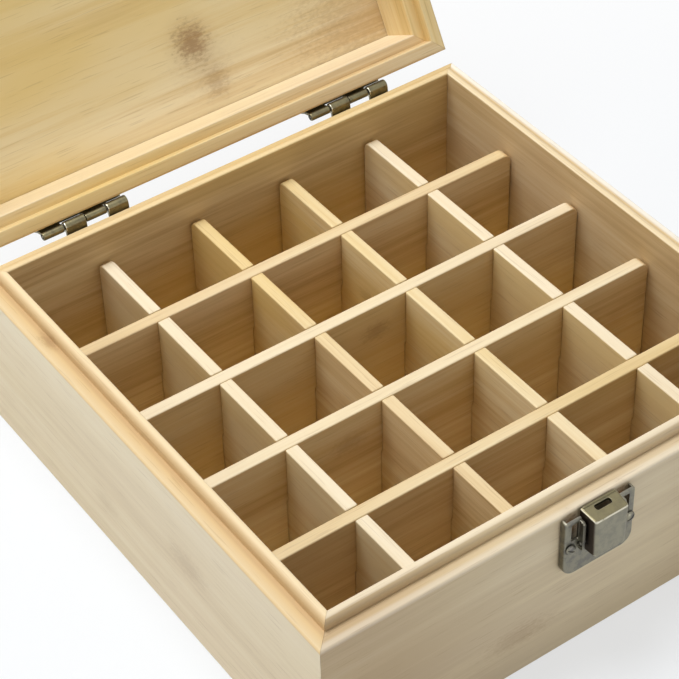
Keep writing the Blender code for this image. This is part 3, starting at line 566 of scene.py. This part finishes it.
def bamboo(name, run, offset, lid=False, warm=0.0, light=0.0, dry=0.0, inner_shade=0.0, crest=0.0,
           knots=(), streaks=1.3, **edges):
    """Bamboo whose fibres run along X or Y, the lid's in the lid's own frame when shut.

    Warm yellows the wood, dry greys it and streaks is the strength of its bands.  Inner_shade
    paints shade on the faces inside the tray, crest is the height of the piece's upper edge and
    edges go on to inside(); a knot is (place, length along the fibres, width, strength), and
    the same dark spots paint the shadow behind the latch plate's openings.
    """
    finish = Finish(name)
    spot = finish.place
    if lid:
        shut = LID_OPEN.inverted()
        spot = finish.add("ShaderNodeMapping", {}, {
            "Vector": spot, "Location": shut.to_translation(), "Rotation": shut.to_euler()})
    place = spot
    if run == "Y":
        place = finish.add("ShaderNodeMapping", {}, {"Vector": spot, "Rotation": (0, 0, QUARTER)})
    place = finish.vector("ADD", place, offset)
    fibre, thread, band, drift = (finish.noise(place, *pattern)
                                  for pattern in (FIBRES, THREADS, BANDS, DRIFTS))
    tone = (fibre - 0.5) * 1.3 + (band - 0.5) * streaks + (thread - 0.5) * 0.35 + (0.5 - light)
    wood = finish.ramp(tone, (0.12, "pale"), (0.5, "straw"), (0.9, "tan"))
    wood = finish.over(wood, "honey", finish.ease(drift, 0.42, 0.70) * (0.45 + warm))
    wood = finish.over(wood, "blush", finish.ease(drift, 0.55, 0.30) * (0.35 - warm / 2))
    wood = finish.over(wood, "dry", dry)
    if inner_shade or crest:
        wood = inside(finish, wood, spot, fibre, inner_shade, crest, **edges)
    dash = finish.noise(place, *DASHES)
    wood = finish.over(wood, "knot", finish.ease(dash, 0.62, 0.72) * 0.17)
    for centre, along, across, strength in knots:
        reach = [1 / across] * 3
        reach["XY".index(run)] = 1 / along
        away = finish.vector("MULTIPLY", finish.vector("SUBTRACT", spot, centre), reach)
        away = finish.vector("LENGTH", away, out="Value")
        core = finish.ease(away + (finish.noise(place, *RAGGED) - 0.5) * 1.8, 0.9, 0.1)
        halo = finish.ease(away, 1.3, 0)
        wood = finish.over(wood, "knot", (core * 0.7 + halo * 0.5) * strength)
    finish.set(Base_Color=wood, Roughness=0.46 + fibre * 0.14)
    finish.bump(fibre + thread * 0.5, 0.35, 0.00008)
    return finish.material


def inside(finish, wood, place, fibre, inner_shade, crest, cream=0.3, rim=0.7, ends=0.0, glare=0.0,
           pale=0.0, lift=0.0):
    """Wood with pale upper edges, the rim's painted lines and painted shade in the tray.

    Cream pales the upper edge, partly a paler edge and partly a painted highlight; rim is the
    strength of the rim's lines, a painted highlight on the lip's top and painted shade at its
    foot; ends paints shade on the outer face towards its ends; glare paints a highlight on the
    ledge's outer edge and lift paints light on a wall's upper part.  Pale is for the lid: it
    paints a highlight on the faces round the hollow and paints shade on the edges that lie on
    the ledge.  Inner_shade paints shade on the faces inside the tray.
    """
    tray = settings("tray")
    clear = tray.side / 2 - tray.wall
    size = finish.vector("ABSOLUTE", place)
    far_x, far_y, height = (finish.axis(size, name) for name in "XYZ")
    across = far_x.sum("MAXIMUM", far_x, far_y)
    depth = finish.ease(height, tray.divider_top, 0)
    faces = (finish.ease(across, clear + FACE_FAR, clear + FACE_NEAR)
             * finish.ease(height, crest, crest - CREST_FACE))
    # Painted shade on the faces inside the tray.
    wood = finish.over(wood, "deep", faces * (1 - depth * 1.3) * inner_shade, "MULTIPLY")
    # Painted light on a wall's upper part.
    if lift:
        wood = finish.over(wood, "cream", finish.ease(height, LIFT_LOW, LIFT_HIGH) * lift)
    # Painted highlight round the lid's hollow and painted shade on its edges on the ledge.
    if pale:
        wood = finish.over(wood, "cream", faces * pale)
        edge = (finish.ease(height, tray.height + LEDGE_OVER, tray.height + LEDGE_UNDER)
                * finish.ease(across, clear + tray.lip, clear + tray.wall))
        wood = finish.over(wood, "deep", (edge * 0.5 + 0.15) * pale, "MULTIPLY")
    # Painted shade on the outer face towards its ends.
    if ends:
        wood = finish.over(wood, "deep", finish.ease(far_x, ENDS_FROM, clear) * ends, "MULTIPLY")
    # Paler upper edge, partly a painted highlight.
    top = finish.ease(height, crest - CREST_LOW, crest - CREST_HIGH) * (1.5 - fibre) * cream
    wood = finish.over(wood, "cream" if cream > 0.3 else "crest", top)
    # The rim's lines: painted highlight on the lip's top, painted shade at its foot, then the
    # ledge's tones.
    line = finish.ramp((across - clear) * (1 / tray.wall), (0.16, "crest"), (0.34, "groove"),
                       (0.50, "groove"), (0.62, "seam"), (0.90, "ledge"), (1.0, "seam"))
    lines = (finish.ease(height, tray.height - LEDGE_LOW, tray.height - LEDGE_HIGH)
             * finish.ease(across, clear + FACE_NEAR, clear + FACE_FAR))
    wood = finish.over(wood, line, lines * rim)
    # Painted highlight on the ledge's outer edge.
    if glare:
        outer = finish.ease(across, clear + GLARE_NEAR, clear + GLARE_FAR)
        wood = finish.over(wood, "glare", lines * outer * glare)
    return wood


def bronze(name, dark=0.0, patchy=0.8, film=0.0):
    """Antique bronze: patchy patina, bright where an edge has been rubbed.

    Above the height of the film the metal is more olive.  The attribute "side" says how far
    a face looks along X, where a dark reflection is painted.
    """
    finish = Finish(name)
    cloud, speck = (finish.noise(finish.place, *pattern) for pattern in (CLOUDS, SPECKS))
    patch = finish.ease(cloud + (speck - 0.5) * 0.3, 0.40, 0.66) * patchy + dark
    metal = finish.over(finish.colour("bronze"), "patina", patch)
    if film:
        height = finish.axis(finish.place, "Z")
        metal = finish.over(metal, "olive", finish.ease(height, film - 0.0003, film), "MULTIPLY")
        # Painted dark reflection on the faces that look along X.
        metal = finish.over(metal, "soot", finish.ease(finish.mark("side"), 0.6, 0.95), "MULTIPLY")
    rubbed = finish.mark("wear") * finish.ease(cloud + (speck - 0.5) * 0.5, 0.25, 0.5)
    metal = finish.over(metal, "bright", rubbed * 0.8)
    finish.set(Base_Color=metal, Metallic=1.0,
               Roughness=0.30 + cloud * 0.16 + speck * 0.06 - rubbed * 0.08)
    finish.bump(speck, 0.15, 0.00004)
    return finish.material


# Pieces

def four_sides(stem, node, profile, base, slot, body, finishes):
    """Four mitred lengths of one profile round the box."""
    tray = settings("tray")
    for label, quarter in (("right", 0), ("back", 1), ("left", 2), ("front", 3)):
        shape = board(profile, tray.side)
        for side in (-1, 1):
            normal = Vector((-1, side, 0)).normalized()
            corner = Vector((tray.wall, side * tray.side / 2, 0))
            saw(shape, corner - normal * tray.mitre / 2, normal)
        moved(shape, at(0, 0, base) @ turn(quarter * QUARTER, "Z")
              @ at(tray.side / 2 - tray.wall, 0, 0))
        piece(stem + label, shape, finishes[label], body, slot, node + label)


def thin_board(thickness):
    """A board that is let into the four sides."""
    tray = settings("tray")
    side = tray.side - 2 * tray.wall + 2 * (tray.lap - tray.play)
    return ease(block((side, side, thickness)), tray.play, worn=False)


class BOTTLEBOX_OT_tray_walls(Operator):
    """Model the four walls with their ledge and raised lip"""
    bl_idname = "bottle_box.tray_walls"
    bl_label = "Tray walls"

    def execute(self, context):
        tray = settings("tray")
        shoulder = tray.floor + tray.play
        top = tray.height + tray.lip_rise
        profile = [(tray.lap, 0, 0), (tray.wall, 0, tray.foot),
                   (tray.wall, tray.height, tray.edge), (tray.lip, tray.height, 0),
                   (tray.lip, top, tray.lip_outer), (0, top, tray.lip_inner),
                   (0, shoulder, 0), (tray.lap, shoulder, 0)]
        # Painted shadow on the wood seen through the latch plate's two openings.
        window_shadows = [((across, -0.0890, 0.0485), 0.0038, 0.0060, 0.9)
                  for across in (-0.00875, 0.00875)]
        # Each wall's inner_shade, cream, rim, ends, glare and lift are painted light and shade.
        finishes = {
            "front": bamboo("bamboo_front_wall", "X", (0.31, 0, 0.02), light=-0.16, dry=0.6,
                            inner_shade=0.28, crest=top, streaks=2.0, cream=0.7, rim=0.15, ends=0.5,
                            glare=0.25,
                            knots=[((-0.0240, -0.0890, 0.0153), 0.018, 0.006, 0.28), *window_shadows]),
            "back": bamboo("bamboo_back_wall", "X", (0.77, 0, 0.13), warm=0.2, light=-0.12,
                           inner_shade=0.24, crest=top, rim=0.5),
            "left": bamboo("bamboo_left_wall", "Y", (1.23, 0.3, 0), dry=0.6, inner_shade=0.42,
                           crest=top, rim=0.85, lift=0.3,
                           knots=[((-0.0890, -0.0251, 0.0296), 0.014, 0.007, 0.22),
                                  ((-0.0890, 0.0190, 0.0164), 0.010, 0.006, 0.12),
                                  ((-0.0850, 0.0510, 0.0540), 0.006, 0.003, 0.35)]),
            "right": bamboo("bamboo_right_wall", "Y", (2.41, 0.1, 0), warm=0.1, dry=0.25,
                            inner_shade=0.36, crest=top, cream=0.45, glare=0.8)}
        four_sides("tray_wall_", "wall_", profile, 0, "bamboo_wall", "box", finishes)
        return {"FINISHED"}


class BOTTLEBOX_OT_tray_floor(Operator):
    """Model the bottom board"""
    bl_idname = "bottle_box.tray_floor"
    bl_label = "Tray floor"

    def execute(self, context):
        tray = settings("tray")
        shape = moved(thin_board(tray.floor), at(0, 0, tray.floor / 2))
        finish = bamboo("bamboo_floor", "X", (0.1, 0.2, 0), warm=0.2, light=-0.2)
        piece("tray_floor", shape, finish, "box", "bamboo_floor", "bottom_panel")
        return {"FINISHED"}


class BOTTLEBOX_OT_divider_grid(Operator):
    """Model the dividers, halved where they cross"""
    bl_idname = "bottle_box.divider_grid"
    bl_label = "Divider grid"

    # Warm, light, dry, inner_shade and cream of each divider: inner_shade is painted shade on its
    # faces, cream pales its top edge, partly as a painted highlight.
    looks = {"long": ((0.25, 0, 0.05, 0.3, 0.2), (0.05, 0.15, 0.05, 0.4, 0.45),
                      (0.15, 0.05, 0.1, 0.4, 0.6), (0.1, -0.1, 0.05, 0.3, 0.05)),
             "cross": ((0.05, 0.3, 0.2, 0, 0.7), (0.35, 0.05, 0, 0.2, 0.3),
                       (0.5, 0.2, 0, 0.15, 0.2), (0.3, 0.1, 0.3, 0, 0.7))}
    knots = {"long_2": [((-0.0299, -0.0187, 0.0354), 0.009, 0.005, 0.3)],
             "long_3": [((0.0036, 0.0143, 0.0363), 0.008, 0.005, 0.35)],
             "cross_3": [((0.0143, 0.0330, 0.0300), 0.007, 0.004, 0.25)]}

    def outline(self, tray, places, from_top):
        """A divider's outline, with slots from below or from above.

        Slots from above are loose on the side away from the latch.
        """
        half = tray.side / 2 - tray.wall - tray.play
        foot, top, corner = tray.floor + tray.play, tray.divider_top, tray.divider_corner
        near = tray.divider / 2 + tray.near_play
        far = tray.divider / 2 + (tray.far_play if from_top else tray.near_play)
        mouth = top if from_top else foot
        depth = (foot + top) / 2 + tray.near_play / (-2 if from_top else 2)
        slots = [(place + step, up, 0) for place in places for step, up in
                 ((-near, mouth), (-near, depth), (far, depth), (far, mouth))]
        low, high = ([], reversed(slots)) if from_top else (slots, [])
        return [(-half, foot, 0), *low, (half, foot, 0), (half, top, corner), *high,
                (-half, top, corner)]

    def execute(self, context):
        tray = settings("tray")
        pitch = (tray.side - 2 * tray.wall + tray.divider - 2 * tray.outer_cell) / tray.cells
        places = [(index - tray.cells / 2) * pitch for index in range(1, tray.cells)]
        for index, place in enumerate(places, 1):
            for way, run in (("long", "X"), ("cross", "Y")):
                shape = board(self.outline(tray, places, run == "Y"), tray.divider)
                ease(shape, tray.divider_edge, 3, worn=False)
                moved(shape, at(0, place, 0) if run == "X" else at(place, 0, 0)
                      @ turn(QUARTER, "Z"))
                name = "%s_%d" % (way, index)
                number = index + 4 * (run == "Y")
                look = dict(zip(("warm", "light", "dry", "inner_shade", "cream"),
                                self.looks[way][index - 1]))
                finish = bamboo("bamboo_divider_" + name, run,
                                (0.37 * number, 0.11 * number, 0.05 * number),
                                crest=tray.divider_top, knots=self.knots.get(name, ()), **look)
                piece("divider_%s_board_%d" % (way, index), shape, finish, "box", "bamboo_grid",
                      "divider_" + name)
        return {"FINISHED"}


class BOTTLEBOX_OT_lid_rails(Operator):
    """Model the lid's four rails with the rebate that takes the lip"""
    bl_idname = "bottle_box.lid_rails"
    bl_label = "Lid rails"

    def execute(self, context):
        tray, lid = settings("tray"), settings("lid")
        shoulder = lid.height - lid.board - tray.play
        profile = [(lid.rebate, 0, lid.fine_edge), (tray.wall, 0, tray.edge),
                   (tray.wall, lid.height, lid.top_edge), (tray.lap, lid.height, 0),
                   (tray.lap, shoulder, 0), (0, shoulder, 0),
                   (0, lid.rebate_rise, lid.fine_edge), (lid.rebate, lid.rebate_rise, 0)]
        # The back rail's pale paints a highlight round the hollow and shade on its edges on the
        # ledge.
        finishes = {label: bamboo("bamboo_lid_" + label, run, shift, lid=True, warm=0.2,
                                  light=0.15, crest=NO_CREST, rim=0.0,
                                  pale=0.5 * (label == "back"))
                    for label, run, shift in (("front", "X", (3.1, 0, 0)),
                                              ("back", "X", (4.3, 0.2, 0)),
                                              ("left", "Y", (5.2, 0.4, 0)),
                                              ("right", "Y", (6.6, 0.1, 0)))}
        four_sides("lid_rail_", "lid_", profile, tray.height + tray.play, "bamboo_lid", "lid",
                   finishes)
        return {"FINISHED"}


class BOTTLEBOX_OT_lid_board(Operator):
    """Model the board that closes the lid"""
    bl_idname = "bottle_box.lid_board"
    bl_label = "Lid board"

    def execute(self, context):
        tray, lid = settings("tray"), settings("lid")
        height = tray.height + tray.play + lid.height - lid.board / 2
        shape = moved(thin_board(lid.board), at(0, 0, height))
        finish = bamboo("bamboo_lid_board", "X", (7.7, 0.5, 0), lid=True, warm=0.42, light=0.14,
                        streaks=2.0, knots=[((0.0126, 0.0580, 0.0748), 0.009, 0.010, 0.6),
                                            ((0.0167, 0.0727, 0.0748), 0.007, 0.008, 0.3),
                                            ((0.0150, 0.0660, 0.0748), 0.018, 0.016, 0.12),
                                            # A broad darker patch near the right and back rails.
                                            ((0.0800, 0.0700, 0.0748), 0.045, 0.030, 0.30)])
        piece("lid_top_board", shape, finish, "lid", "bamboo_lid", "lid_panel")
        return {"FINISHED"}


class BOTTLEBOX_OT_hinges(Operator):
    """Model the leaves, knuckles and pins of both hinges"""
    bl_idname = "bottle_box.hinges"
    bl_label = "Hinges"

    def leaf(self, hinge, tray, first, radius, rise):
        """One leaf with every second knuckle, its barrel on the X axis."""
        share = (hinge.span - (hinge.knuckles - 1) * hinge.gap) / hinge.knuckles
        back = tray.side / 2 + tray.play - LID_AXIS.y
        trim = tray.mitre
        edge = rise * hinge.leaf_edge
        shape = plate(hinge.span / 2 - trim, edge, rise * (hinge.leaf_edge + hinge.leaf_height),
                      hinge.leaf, 0, hinge.leaf_corner)
        moved(shape, at(0, back + hinge.leaf / 2, 0))
        root = rise * (hinge.leaf_edge + hinge.leaf)
        bend = [(back + trim, root, 0), (back + trim, edge, 0), (trim - radius, 0, 0),
                (hinge.leaf - radius, 0, 0), (back + hinge.leaf - trim, edge, 0),
                (back + hinge.leaf - trim, root, 0)]
        for index in range(first, hinge.knuckles, 2):
            middle = at(index * (share + hinge.gap) + (share - hinge.span) / 2, 0, 0)
            neck = moved(board(bend, share - 2 * trim), middle @ turn(QUARTER, "Z"))
            barrel = knuckle(share / 2, radius, UNDERSIZE * hinge.bore, hinge.rounding)
            moved(barrel, middle)
            shape = carved(carved(shape, neck, "UNION"), barrel, "UNION")
        shape = ease(carved(shape, drill(hinge.span, hinge.bore)), LEAF_WORN, angle=CREASE)
        wear = shape.faces.layers.float["wear"]
        for face in shape.faces:
            spot = face.calc_center_median()
            place = (spot.x + hinge.span / 2) % (share + hinge.gap)
            on_barrel = math.hypot(spot.y, spot.z) < hinge.tray_barrel
            if rise < 0 and on_barrel and place < hinge.rounding:
                face[wear] = 1
            elif rise > 0 and not on_barrel:
                face[wear] = 0
        return shape

    def execute(self, context):
        hinge, tray = settings("hinge"), settings("tray")
        metal = bronze("bronze_hinge", patchy=0.55, film=tray.wall)
        steel = bronze("bronze_hinge_pin", 0.4)
        for label, side in (("left", -1), ("right", 1)):
            spot = at(side * (tray.side / 2 - hinge.inset), LID_AXIS.y, LID_AXIS.z)
            node = "hinge_" + label
            low = moved(self.leaf(hinge, tray, 1, hinge.tray_barrel, -1), spot)
            metal_piece(node + "_tray_leaf", low, metal, "box", node + "_box_leaf")
            high = moved(self.leaf(hinge, tray, 0, hinge.lid_barrel, 1), spot)
            metal_piece(node + "_upper_leaf", high, metal, "lid", node + "_lid_leaf")
            piece(node + "_pin_rod", moved(rod(hinge.span / 2, hinge.pin), spot), steel, "box",
                  "dark_pin", node + "_pin")
        return {"FINISHED"}


class BOTTLEBOX_OT_latch_plate(Operator):
    """Model the folded latch plate with its two ears, and the lever's pin"""
    bl_idname = "bottle_box.latch_plate"
    bl_label = "Latch plate"

    def execute(self, context):
        latch, tray = settings("latch"), settings("tray")
        wood, top = -tray.side / 2, tray.height - latch.plate_drop
        shape = moved(folded_plate(latch, tray, latch.plate_height, -1), at(0, wood, top))
        front = tray.play + latch.depth
        inner = latch.lever_width / 2 + latch.play
        end = inner + latch.sheet
        reach = wood - LEVER_AXIS.y + latch.pin + 2 * tray.play
        root = front - latch.sheet / 2
        foot, head = LEVER_AXIS.z - EAR_DROP, top - latch.fold
        for side in (-1, 1):
            ear = board([(-reach, foot, EAR_ROUND), (-root, foot, 0), (-root, head, 0),
                         (-reach, head, EAR_ROUND)], latch.sheet + 2 * WELD)
            moved(ear, at(side * (inner + latch.sheet / 2 - WELD), wood, 0) @ turn(QUARTER, "Z"))
            shape = carved(shape, ear, "UNION")
        low, high = LEVER_AXIS.z - BAY_DROP, top + OVERRUN
        bay = block((2 * inner, 2 * reach + OVERRUN, high - low))
        shape = carved(shape, moved(bay, at(0, wood, (low + high) / 2)))
        wide, tall = latch.window_width / 2, latch.window_height / 2
        for side in (-1, 1):
            window = plate(wide, -tall, tall, 2 * front + OVERRUN, tray.play, tray.play)
            moved(window, at(side * (end + tray.mitre + wide), wood,
                             top - latch.window_drop - tall))
            shape = carved(shape, window)
        bore = moved(drill(end + tray.play, latch.pin + tray.play), at(*LEVER_AXIS))
        shape = ease(carved(shape, bore), latch.worn)
        metal_piece("latch_plate_sheet", shape, bronze("bronze_latch_plate", 0.3, 0.5), "box",
                    "latch_base_plate")
        piece("latch_pin_rod", moved(rod(end, latch.pin), at(*LEVER_AXIS)),
              bronze("bronze_latch_pin", 0.4), "box", "dark_pin", "latch_pin")
        return {"FINISHED"}


def folded_plate(latch, tray, height, hangs):
    """A shallow folded plate, open along one edge, whose middle is the origin."""
    half = latch.width / 2
    shape = plate(half, 0, hangs * height, latch.depth, OPEN_CORNER, latch.corner, CORNER_STEPS)
    face = -latch.depth / 2
    ease(shape, latch.fold, FOLD_STEPS,
         lambda edge: all(abs(vert.co.y - face) < HAIR for vert in edge.verts), worn=False)
    moved(shape, at(0, face - tray.play, 0))
    hollow = plate(half - latch.sheet, -hangs * OVERRUN, hangs * (height - latch.sheet),
                   latch.depth - latch.sheet + OVERRUN, 0, latch.corner - latch.sheet,
                   CORNER_STEPS)
    moved(hollow, at(0, -tray.play - (latch.depth - latch.sheet - OVERRUN) / 2, 0))
    return carved(shape, hollow)


class BOTTLEBOX_OT_latch_lever(Operator):
    """Model the hollow lever with the slot for the hook"""
    bl_idname = "bottle_box.latch_lever"
    bl_label = "Latch lever"

    def form(self, latch, tray, inset, overrun):
        """The lever's outline in the box's frame, shrunk by inset and open at the back."""
        back = -tray.side / 2 - latch.lever_back
        depth = latch.lever_front - latch.lever_back
        top = tray.height + latch.lever_top
        low = top - latch.lever_fall - latch.lever_height
        shape = bmesh.new()
        bmesh.ops.create_cube(shape, size=2)
        for vert in shape.verts:
            side, aft, above = vert.co
            vert.co.y = back + overrun if aft > 0 else back - depth + inset
            forward = (back - vert.co.y) / depth
            vert.co.z = (top - inset - latch.lever_fall * forward) if above > 0 else low + inset
            drop = (top - vert.co.z) / (top - low)
            vert.co.x = side * (latch.lever_width / 2 - inset
                                - latch.lever_taper * (drop + forward))
        return shape

    def execute(self, context):
        latch, tray = settings("latch"), settings("tray")
        wood, top = -tray.side / 2, tray.height + latch.lever_top
        front, back = wood - latch.lever_front + HAIR, wood - latch.lever_back - HAIR
        shape = self.form(latch, tray, 0, 0)
        ease(shape, latch.nose, ARC_STEPS,
             lambda edge: all(vert.co.y < front for vert in edge.verts)
             and edge.verts[0].co.x * edge.verts[1].co.x > 0, worn=False)
        ease(shape, latch.rim, FOLD_STEPS,
             lambda edge: any(vert.co.y <= back for vert in edge.verts), lean=0.85)
        hollow = self.form(latch, tray, latch.sheet, OVERRUN)
        shape = carved(shape, ease(hollow, latch.rim / 2, 3, worn=False))
        low, step = top - latch.lever_fall - latch.lever_height, LEVER_AXIS.z - WEDGE_DROP
        reach = -latch.depth - tray.play - WEDGE_REACH
        wedge = board([(-OVERRUN, step, 0), (-OVERRUN, low - OVERRUN, 0),
                       (reach, low - OVERRUN, 0), (reach, low, 0), (-latch.lever_back, step, 0)],
                      latch.lever_width + OVERRUN)
        shape = carved(shape, moved(wedge, at(0, wood, 0) @ turn(QUARTER, "Z")))
        bead = rod(latch.lever_width / 2 - latch.rim, BEAD, BEAD / 2, BEAD_END, BEAD_STEPS)
        moved(bead, at(0, wood - latch.lever_back - BEAD / 2, top))
        shape = carved(shape, bead, "UNION")
        slot = plate(latch.slot_length / 2, -latch.slot_width / 2, latch.slot_width / 2,
                     2 * (latch.sheet + OVERRUN), SLOT_CORNER, SLOT_CORNER)
        shape = carved(shape, moved(slot, at(0, wood - SLOT_REACH, top) @ turn(QUARTER, "X")))
        bore = moved(drill(latch.lever_width, latch.pin + tray.play), at(*LEVER_AXIS))
        shape = ease(carved(shape, bore), latch.worn)
        shape.normal_update()
        # How far each face looks along X, for the painted dark reflection on the sides.
        side = shape.faces.layers.float.new("side")
        for face in shape.faces:
            face[side] = face.normal.x ** 2
        metal = bronze("bronze_lever", 0.1, 0.3, tray.height - FILM_DROP)
        metal_piece("latch_lever_shell", shape, metal, "lever", "latch_lever")
        return {"FINISHED"}


class BOTTLEBOX_OT_keeper(Operator):
    """Model the keeper on the lid with its hooked strap"""
    bl_idname = "bottle_box.keeper"
    bl_label = "Keeper"

    def execute(self, context):
        latch, tray = settings("latch"), settings("tray")
        base = tray.height + tray.play + latch.keeper_rise
        shape = folded_plate(latch, tray, latch.keeper_height, 1)
        moved(shape, at(0, -tray.side / 2, base))
        back = tray.play + latch.depth - WELD
        front = back + STRAP
        tip = front + STRAP
        hook_top = tray.height + latch.lever_top - latch.lever_fall - latch.sheet
        low, high = hook_top - HOOK_HEIGHT, base + STRAP_WIDTH
        strap = board([(-back, low, 0), (-back, high, 0), (-front, high - STRAP, 0),
                       (-front, hook_top, 0), (-tip, hook_top, 0),
                       (-tip, hook_top - HOOK_EDGE, 0), (-front, low, 0)], STRAP_WIDTH)
        moved(strap, at(0, -tray.side / 2, 0) @ turn(QUARTER, "Z"))
        shape = ease(carved(shape, strap, "UNION"), latch.worn / 2)
        metal_piece("keeper_sheet", shape, bronze("bronze_keeper", 0.05), "lid", "keeper_plate")
        return {"FINISHED"}


class BOTTLEBOX_OT_screws(Operator):
    """Model the slotted round-head screws"""
    bl_idname = "bottle_box.screws"
    bl_label = "Screws"

    def screw(self, node, finish, body, spin, spot, way):
        """A screw whose head lies on a spot and looks towards +Y, or with way -1 towards -Y."""
        screw = settings("screw")
        angles = [QUARTER * step / ARC_STEPS for step in range(ARC_STEPS)]
        dome = [(math.sin(angle) * screw.dome, math.cos(angle) * screw.head) for angle in angles]
        shape = turned([(-screw.span, 0), (screw.point - screw.span, screw.shank),
                        (0, screw.shank), *dome, (screw.dome, 0)], SCREW_STEPS)
        groove = moved(block((screw.dome, 3 * screw.head, screw.slot)),
                       turn(spin, "X") @ at(screw.dome, 0, 0))
        shape = ease(carved(shape, groove), SCREW_WORN, 1, angle=CREASE)
        moved(shape, at(*spot) @ turn(way * QUARTER, "Z"))
        metal_piece(node + "_head", shape, finish, body, node)

    def execute(self, context):
        tray, hinge, latch = (settings(group) for group in ("tray", "hinge", "latch"))
        metal = bronze("bronze_screw", 0.15)
        drop = hinge.leaf_edge + hinge.leaf_height / 2
        back = tray.side / 2 + tray.play + hinge.leaf + tray.play
        for label, side in (("left", -1), ("right", 1)):
            for index, hand in enumerate((-1, 1), 1):
                x = side * (tray.side / 2 - hinge.inset) + hand * hinge.screws / 2
                spin = QUARTER * (index + side * hand * SLOT_TURN) / 2
                for body, way in (("box", -1), ("lid", 1)):
                    self.screw("screw_hinge_%s_%s_%d" % (label, body, index), metal, body,
                               -way * spin, (x, back, LID_AXIS.z + way * drop), 1)
        front = -tray.side / 2 - tray.play - latch.depth - tray.play
        low = (tray.height - latch.plate_drop - latch.window_drop - latch.window_height
               - latch.screw_drop)
        high = tray.height + tray.play + latch.keeper_rise + KEEPER_SCREW_RISE
        for index, hand in enumerate((-1, 1), 1):
            for part, body, spacing, height in (("latch", "box", latch.screws, low),
                                                ("keeper", "lid", KEEPER_SCREWS, high)):
                self.screw("screw_%s_%d" % (part, index), metal, body, QUARTER / 3 * hand,
                           (hand * spacing / 2, front, height), -1)
        return {"FINISHED"}


class BOTTLEBOX_OT_stage(Operator):
    """Set up the floor, the lamps and the camera"""
    bl_idname = "bottle_box.stage"
    bl_label = "Stage"

    def seen(self, tree):
        """1 for rays from the camera or a mirroring surface, which see the white background."""
        path = tree.nodes.new("ShaderNodeLightPath")
        camera, glossy, clear = (Wire(tree, path.outputs[ray]) for ray in
                                 ("Is Camera Ray", "Is Glossy Ray", "Is Transmission Ray"))
        return camera + glossy + clear

    def floor(self, stage):
        """A pale floor that turns white behind the box and away from it."""
        shape = bmesh.new()
        bmesh.ops.create_grid(shape, x_segments=1, y_segments=1, size=3)
        item = as_object("floor", shape)
        finish = Finish("pale_floor")
        finish.set(Base_Color=FLOOR_TINT, Roughness=0.8)
        paper = finish.add("ShaderNodeEmission", {}, {"Color": WHITE, "Strength": 1.0})
        behind = finish.ease(finish.axis(finish.place, "Y"), *BEHIND)
        away = finish.ease(finish.vector("LENGTH", finish.place, out="Value"), *AWAY)
        white = (behind * 0.9 + away) * (1 - stage.paper) + stage.paper
        plain = Wire(finish.tree, finish.shader.outputs[0])
        both = finish.add("ShaderNodeMixShader", {}, {0: self.seen(finish.tree) * white,
                                                      1: plain, 2: paper})
        feed(finish.tree, finish.tree.nodes["Material Output"].inputs["Surface"], both)
        item.data.materials.append(finish.material)

    def lamp(self, name, watts, size, place, target):
        light = bpy.data.lights.new(name, "AREA")
        light.shape = "DISK"
        light.size = size
        light.energy = watts
        item = bpy.data.objects.new(name, light)
        item.location = place
        item.rotation_euler = (Vector(place) - Vector(target)).to_track_quat("Z", "Y").to_euler()
        return item

    def camera(self, stage):
        lens = bpy.data.cameras.new("camera")
        lens.sensor_width = 36
        lens.lens = stage.lens
        lens.clip_start = 0.01
        item = bpy.data.objects.new("camera", lens)
        item.location = stage.eye
        item.rotation_euler = stage.gaze
        bpy.context.scene.camera = item
        return item

    def execute(self, context):
        stage = settings("stage")
        self.floor(stage)
        lamps = [self.lamp(name, getattr(stage, name), *where) for name, where in LAMPS.items()]
        for item in (*lamps, self.camera(stage)):
            context.scene.collection.objects.link(item)
        world = bpy.data.worlds.new("daylight")
        world.use_nodes = True
        air = world.node_tree.nodes["Background"]
        air.inputs["Color"].default_value = WHITE
        strength = self.seen(world.node_tree) * (1 - stage.daylight) + stage.daylight
        world.node_tree.links.new(strength.socket, air.inputs["Strength"])
        context.scene.world = world
        context.scene.view_settings.view_transform = "Standard"
        return {"FINISHED"}


OPERATORS = (BOTTLEBOX_OT_stage, BOTTLEBOX_OT_tray_walls, BOTTLEBOX_OT_tray_floor,
             BOTTLEBOX_OT_divider_grid, BOTTLEBOX_OT_lid_rails, BOTTLEBOX_OT_lid_board,
             BOTTLEBOX_OT_hinges, BOTTLEBOX_OT_latch_plate, BOTTLEBOX_OT_latch_lever,
             BOTTLEBOX_OT_keeper, BOTTLEBOX_OT_screws)
GROUPS = {"tray": TraySizes, "lid": LidSizes, "hinge": HingeSizes, "latch": LatchSizes,
          "screw": ScrewSizes, "finishes": Finishes, "stage": StageSettings}


class BOTTLEBOX_PT_panel(Panel):
    """Lists the steps that make the box"""
    bl_label = "Bottle Box"
    bl_space_type = "VIEW_3D"
    bl_region_type = "UI"
    bl_category = "Bottle Box"

    def draw(self, context):
        for step in OPERATORS:
            self.layout.operator(step.bl_idname)


def register():
    for step in (*GROUPS.values(), *OPERATORS, BOTTLEBOX_PT_panel):
        bpy.utils.register_class(step)
    for name, group in GROUPS.items():
        setattr(bpy.types.Scene, "bottle_box_" + name, PointerProperty(type=group))


def unregister():
    for name in GROUPS:
        delattr(bpy.types.Scene, "bottle_box_" + name)
    for step in (BOTTLEBOX_PT_panel, *reversed(OPERATORS), *GROUPS.values()):
        bpy.utils.unregister_class(step)


def main():
    """Makes every piece and the stage."""
    register()
    for step in OPERATORS:
        group, name = step.bl_idname.split(".")
        getattr(getattr(bpy.ops, group), name)()


if __name__ == "__main__":
    main()
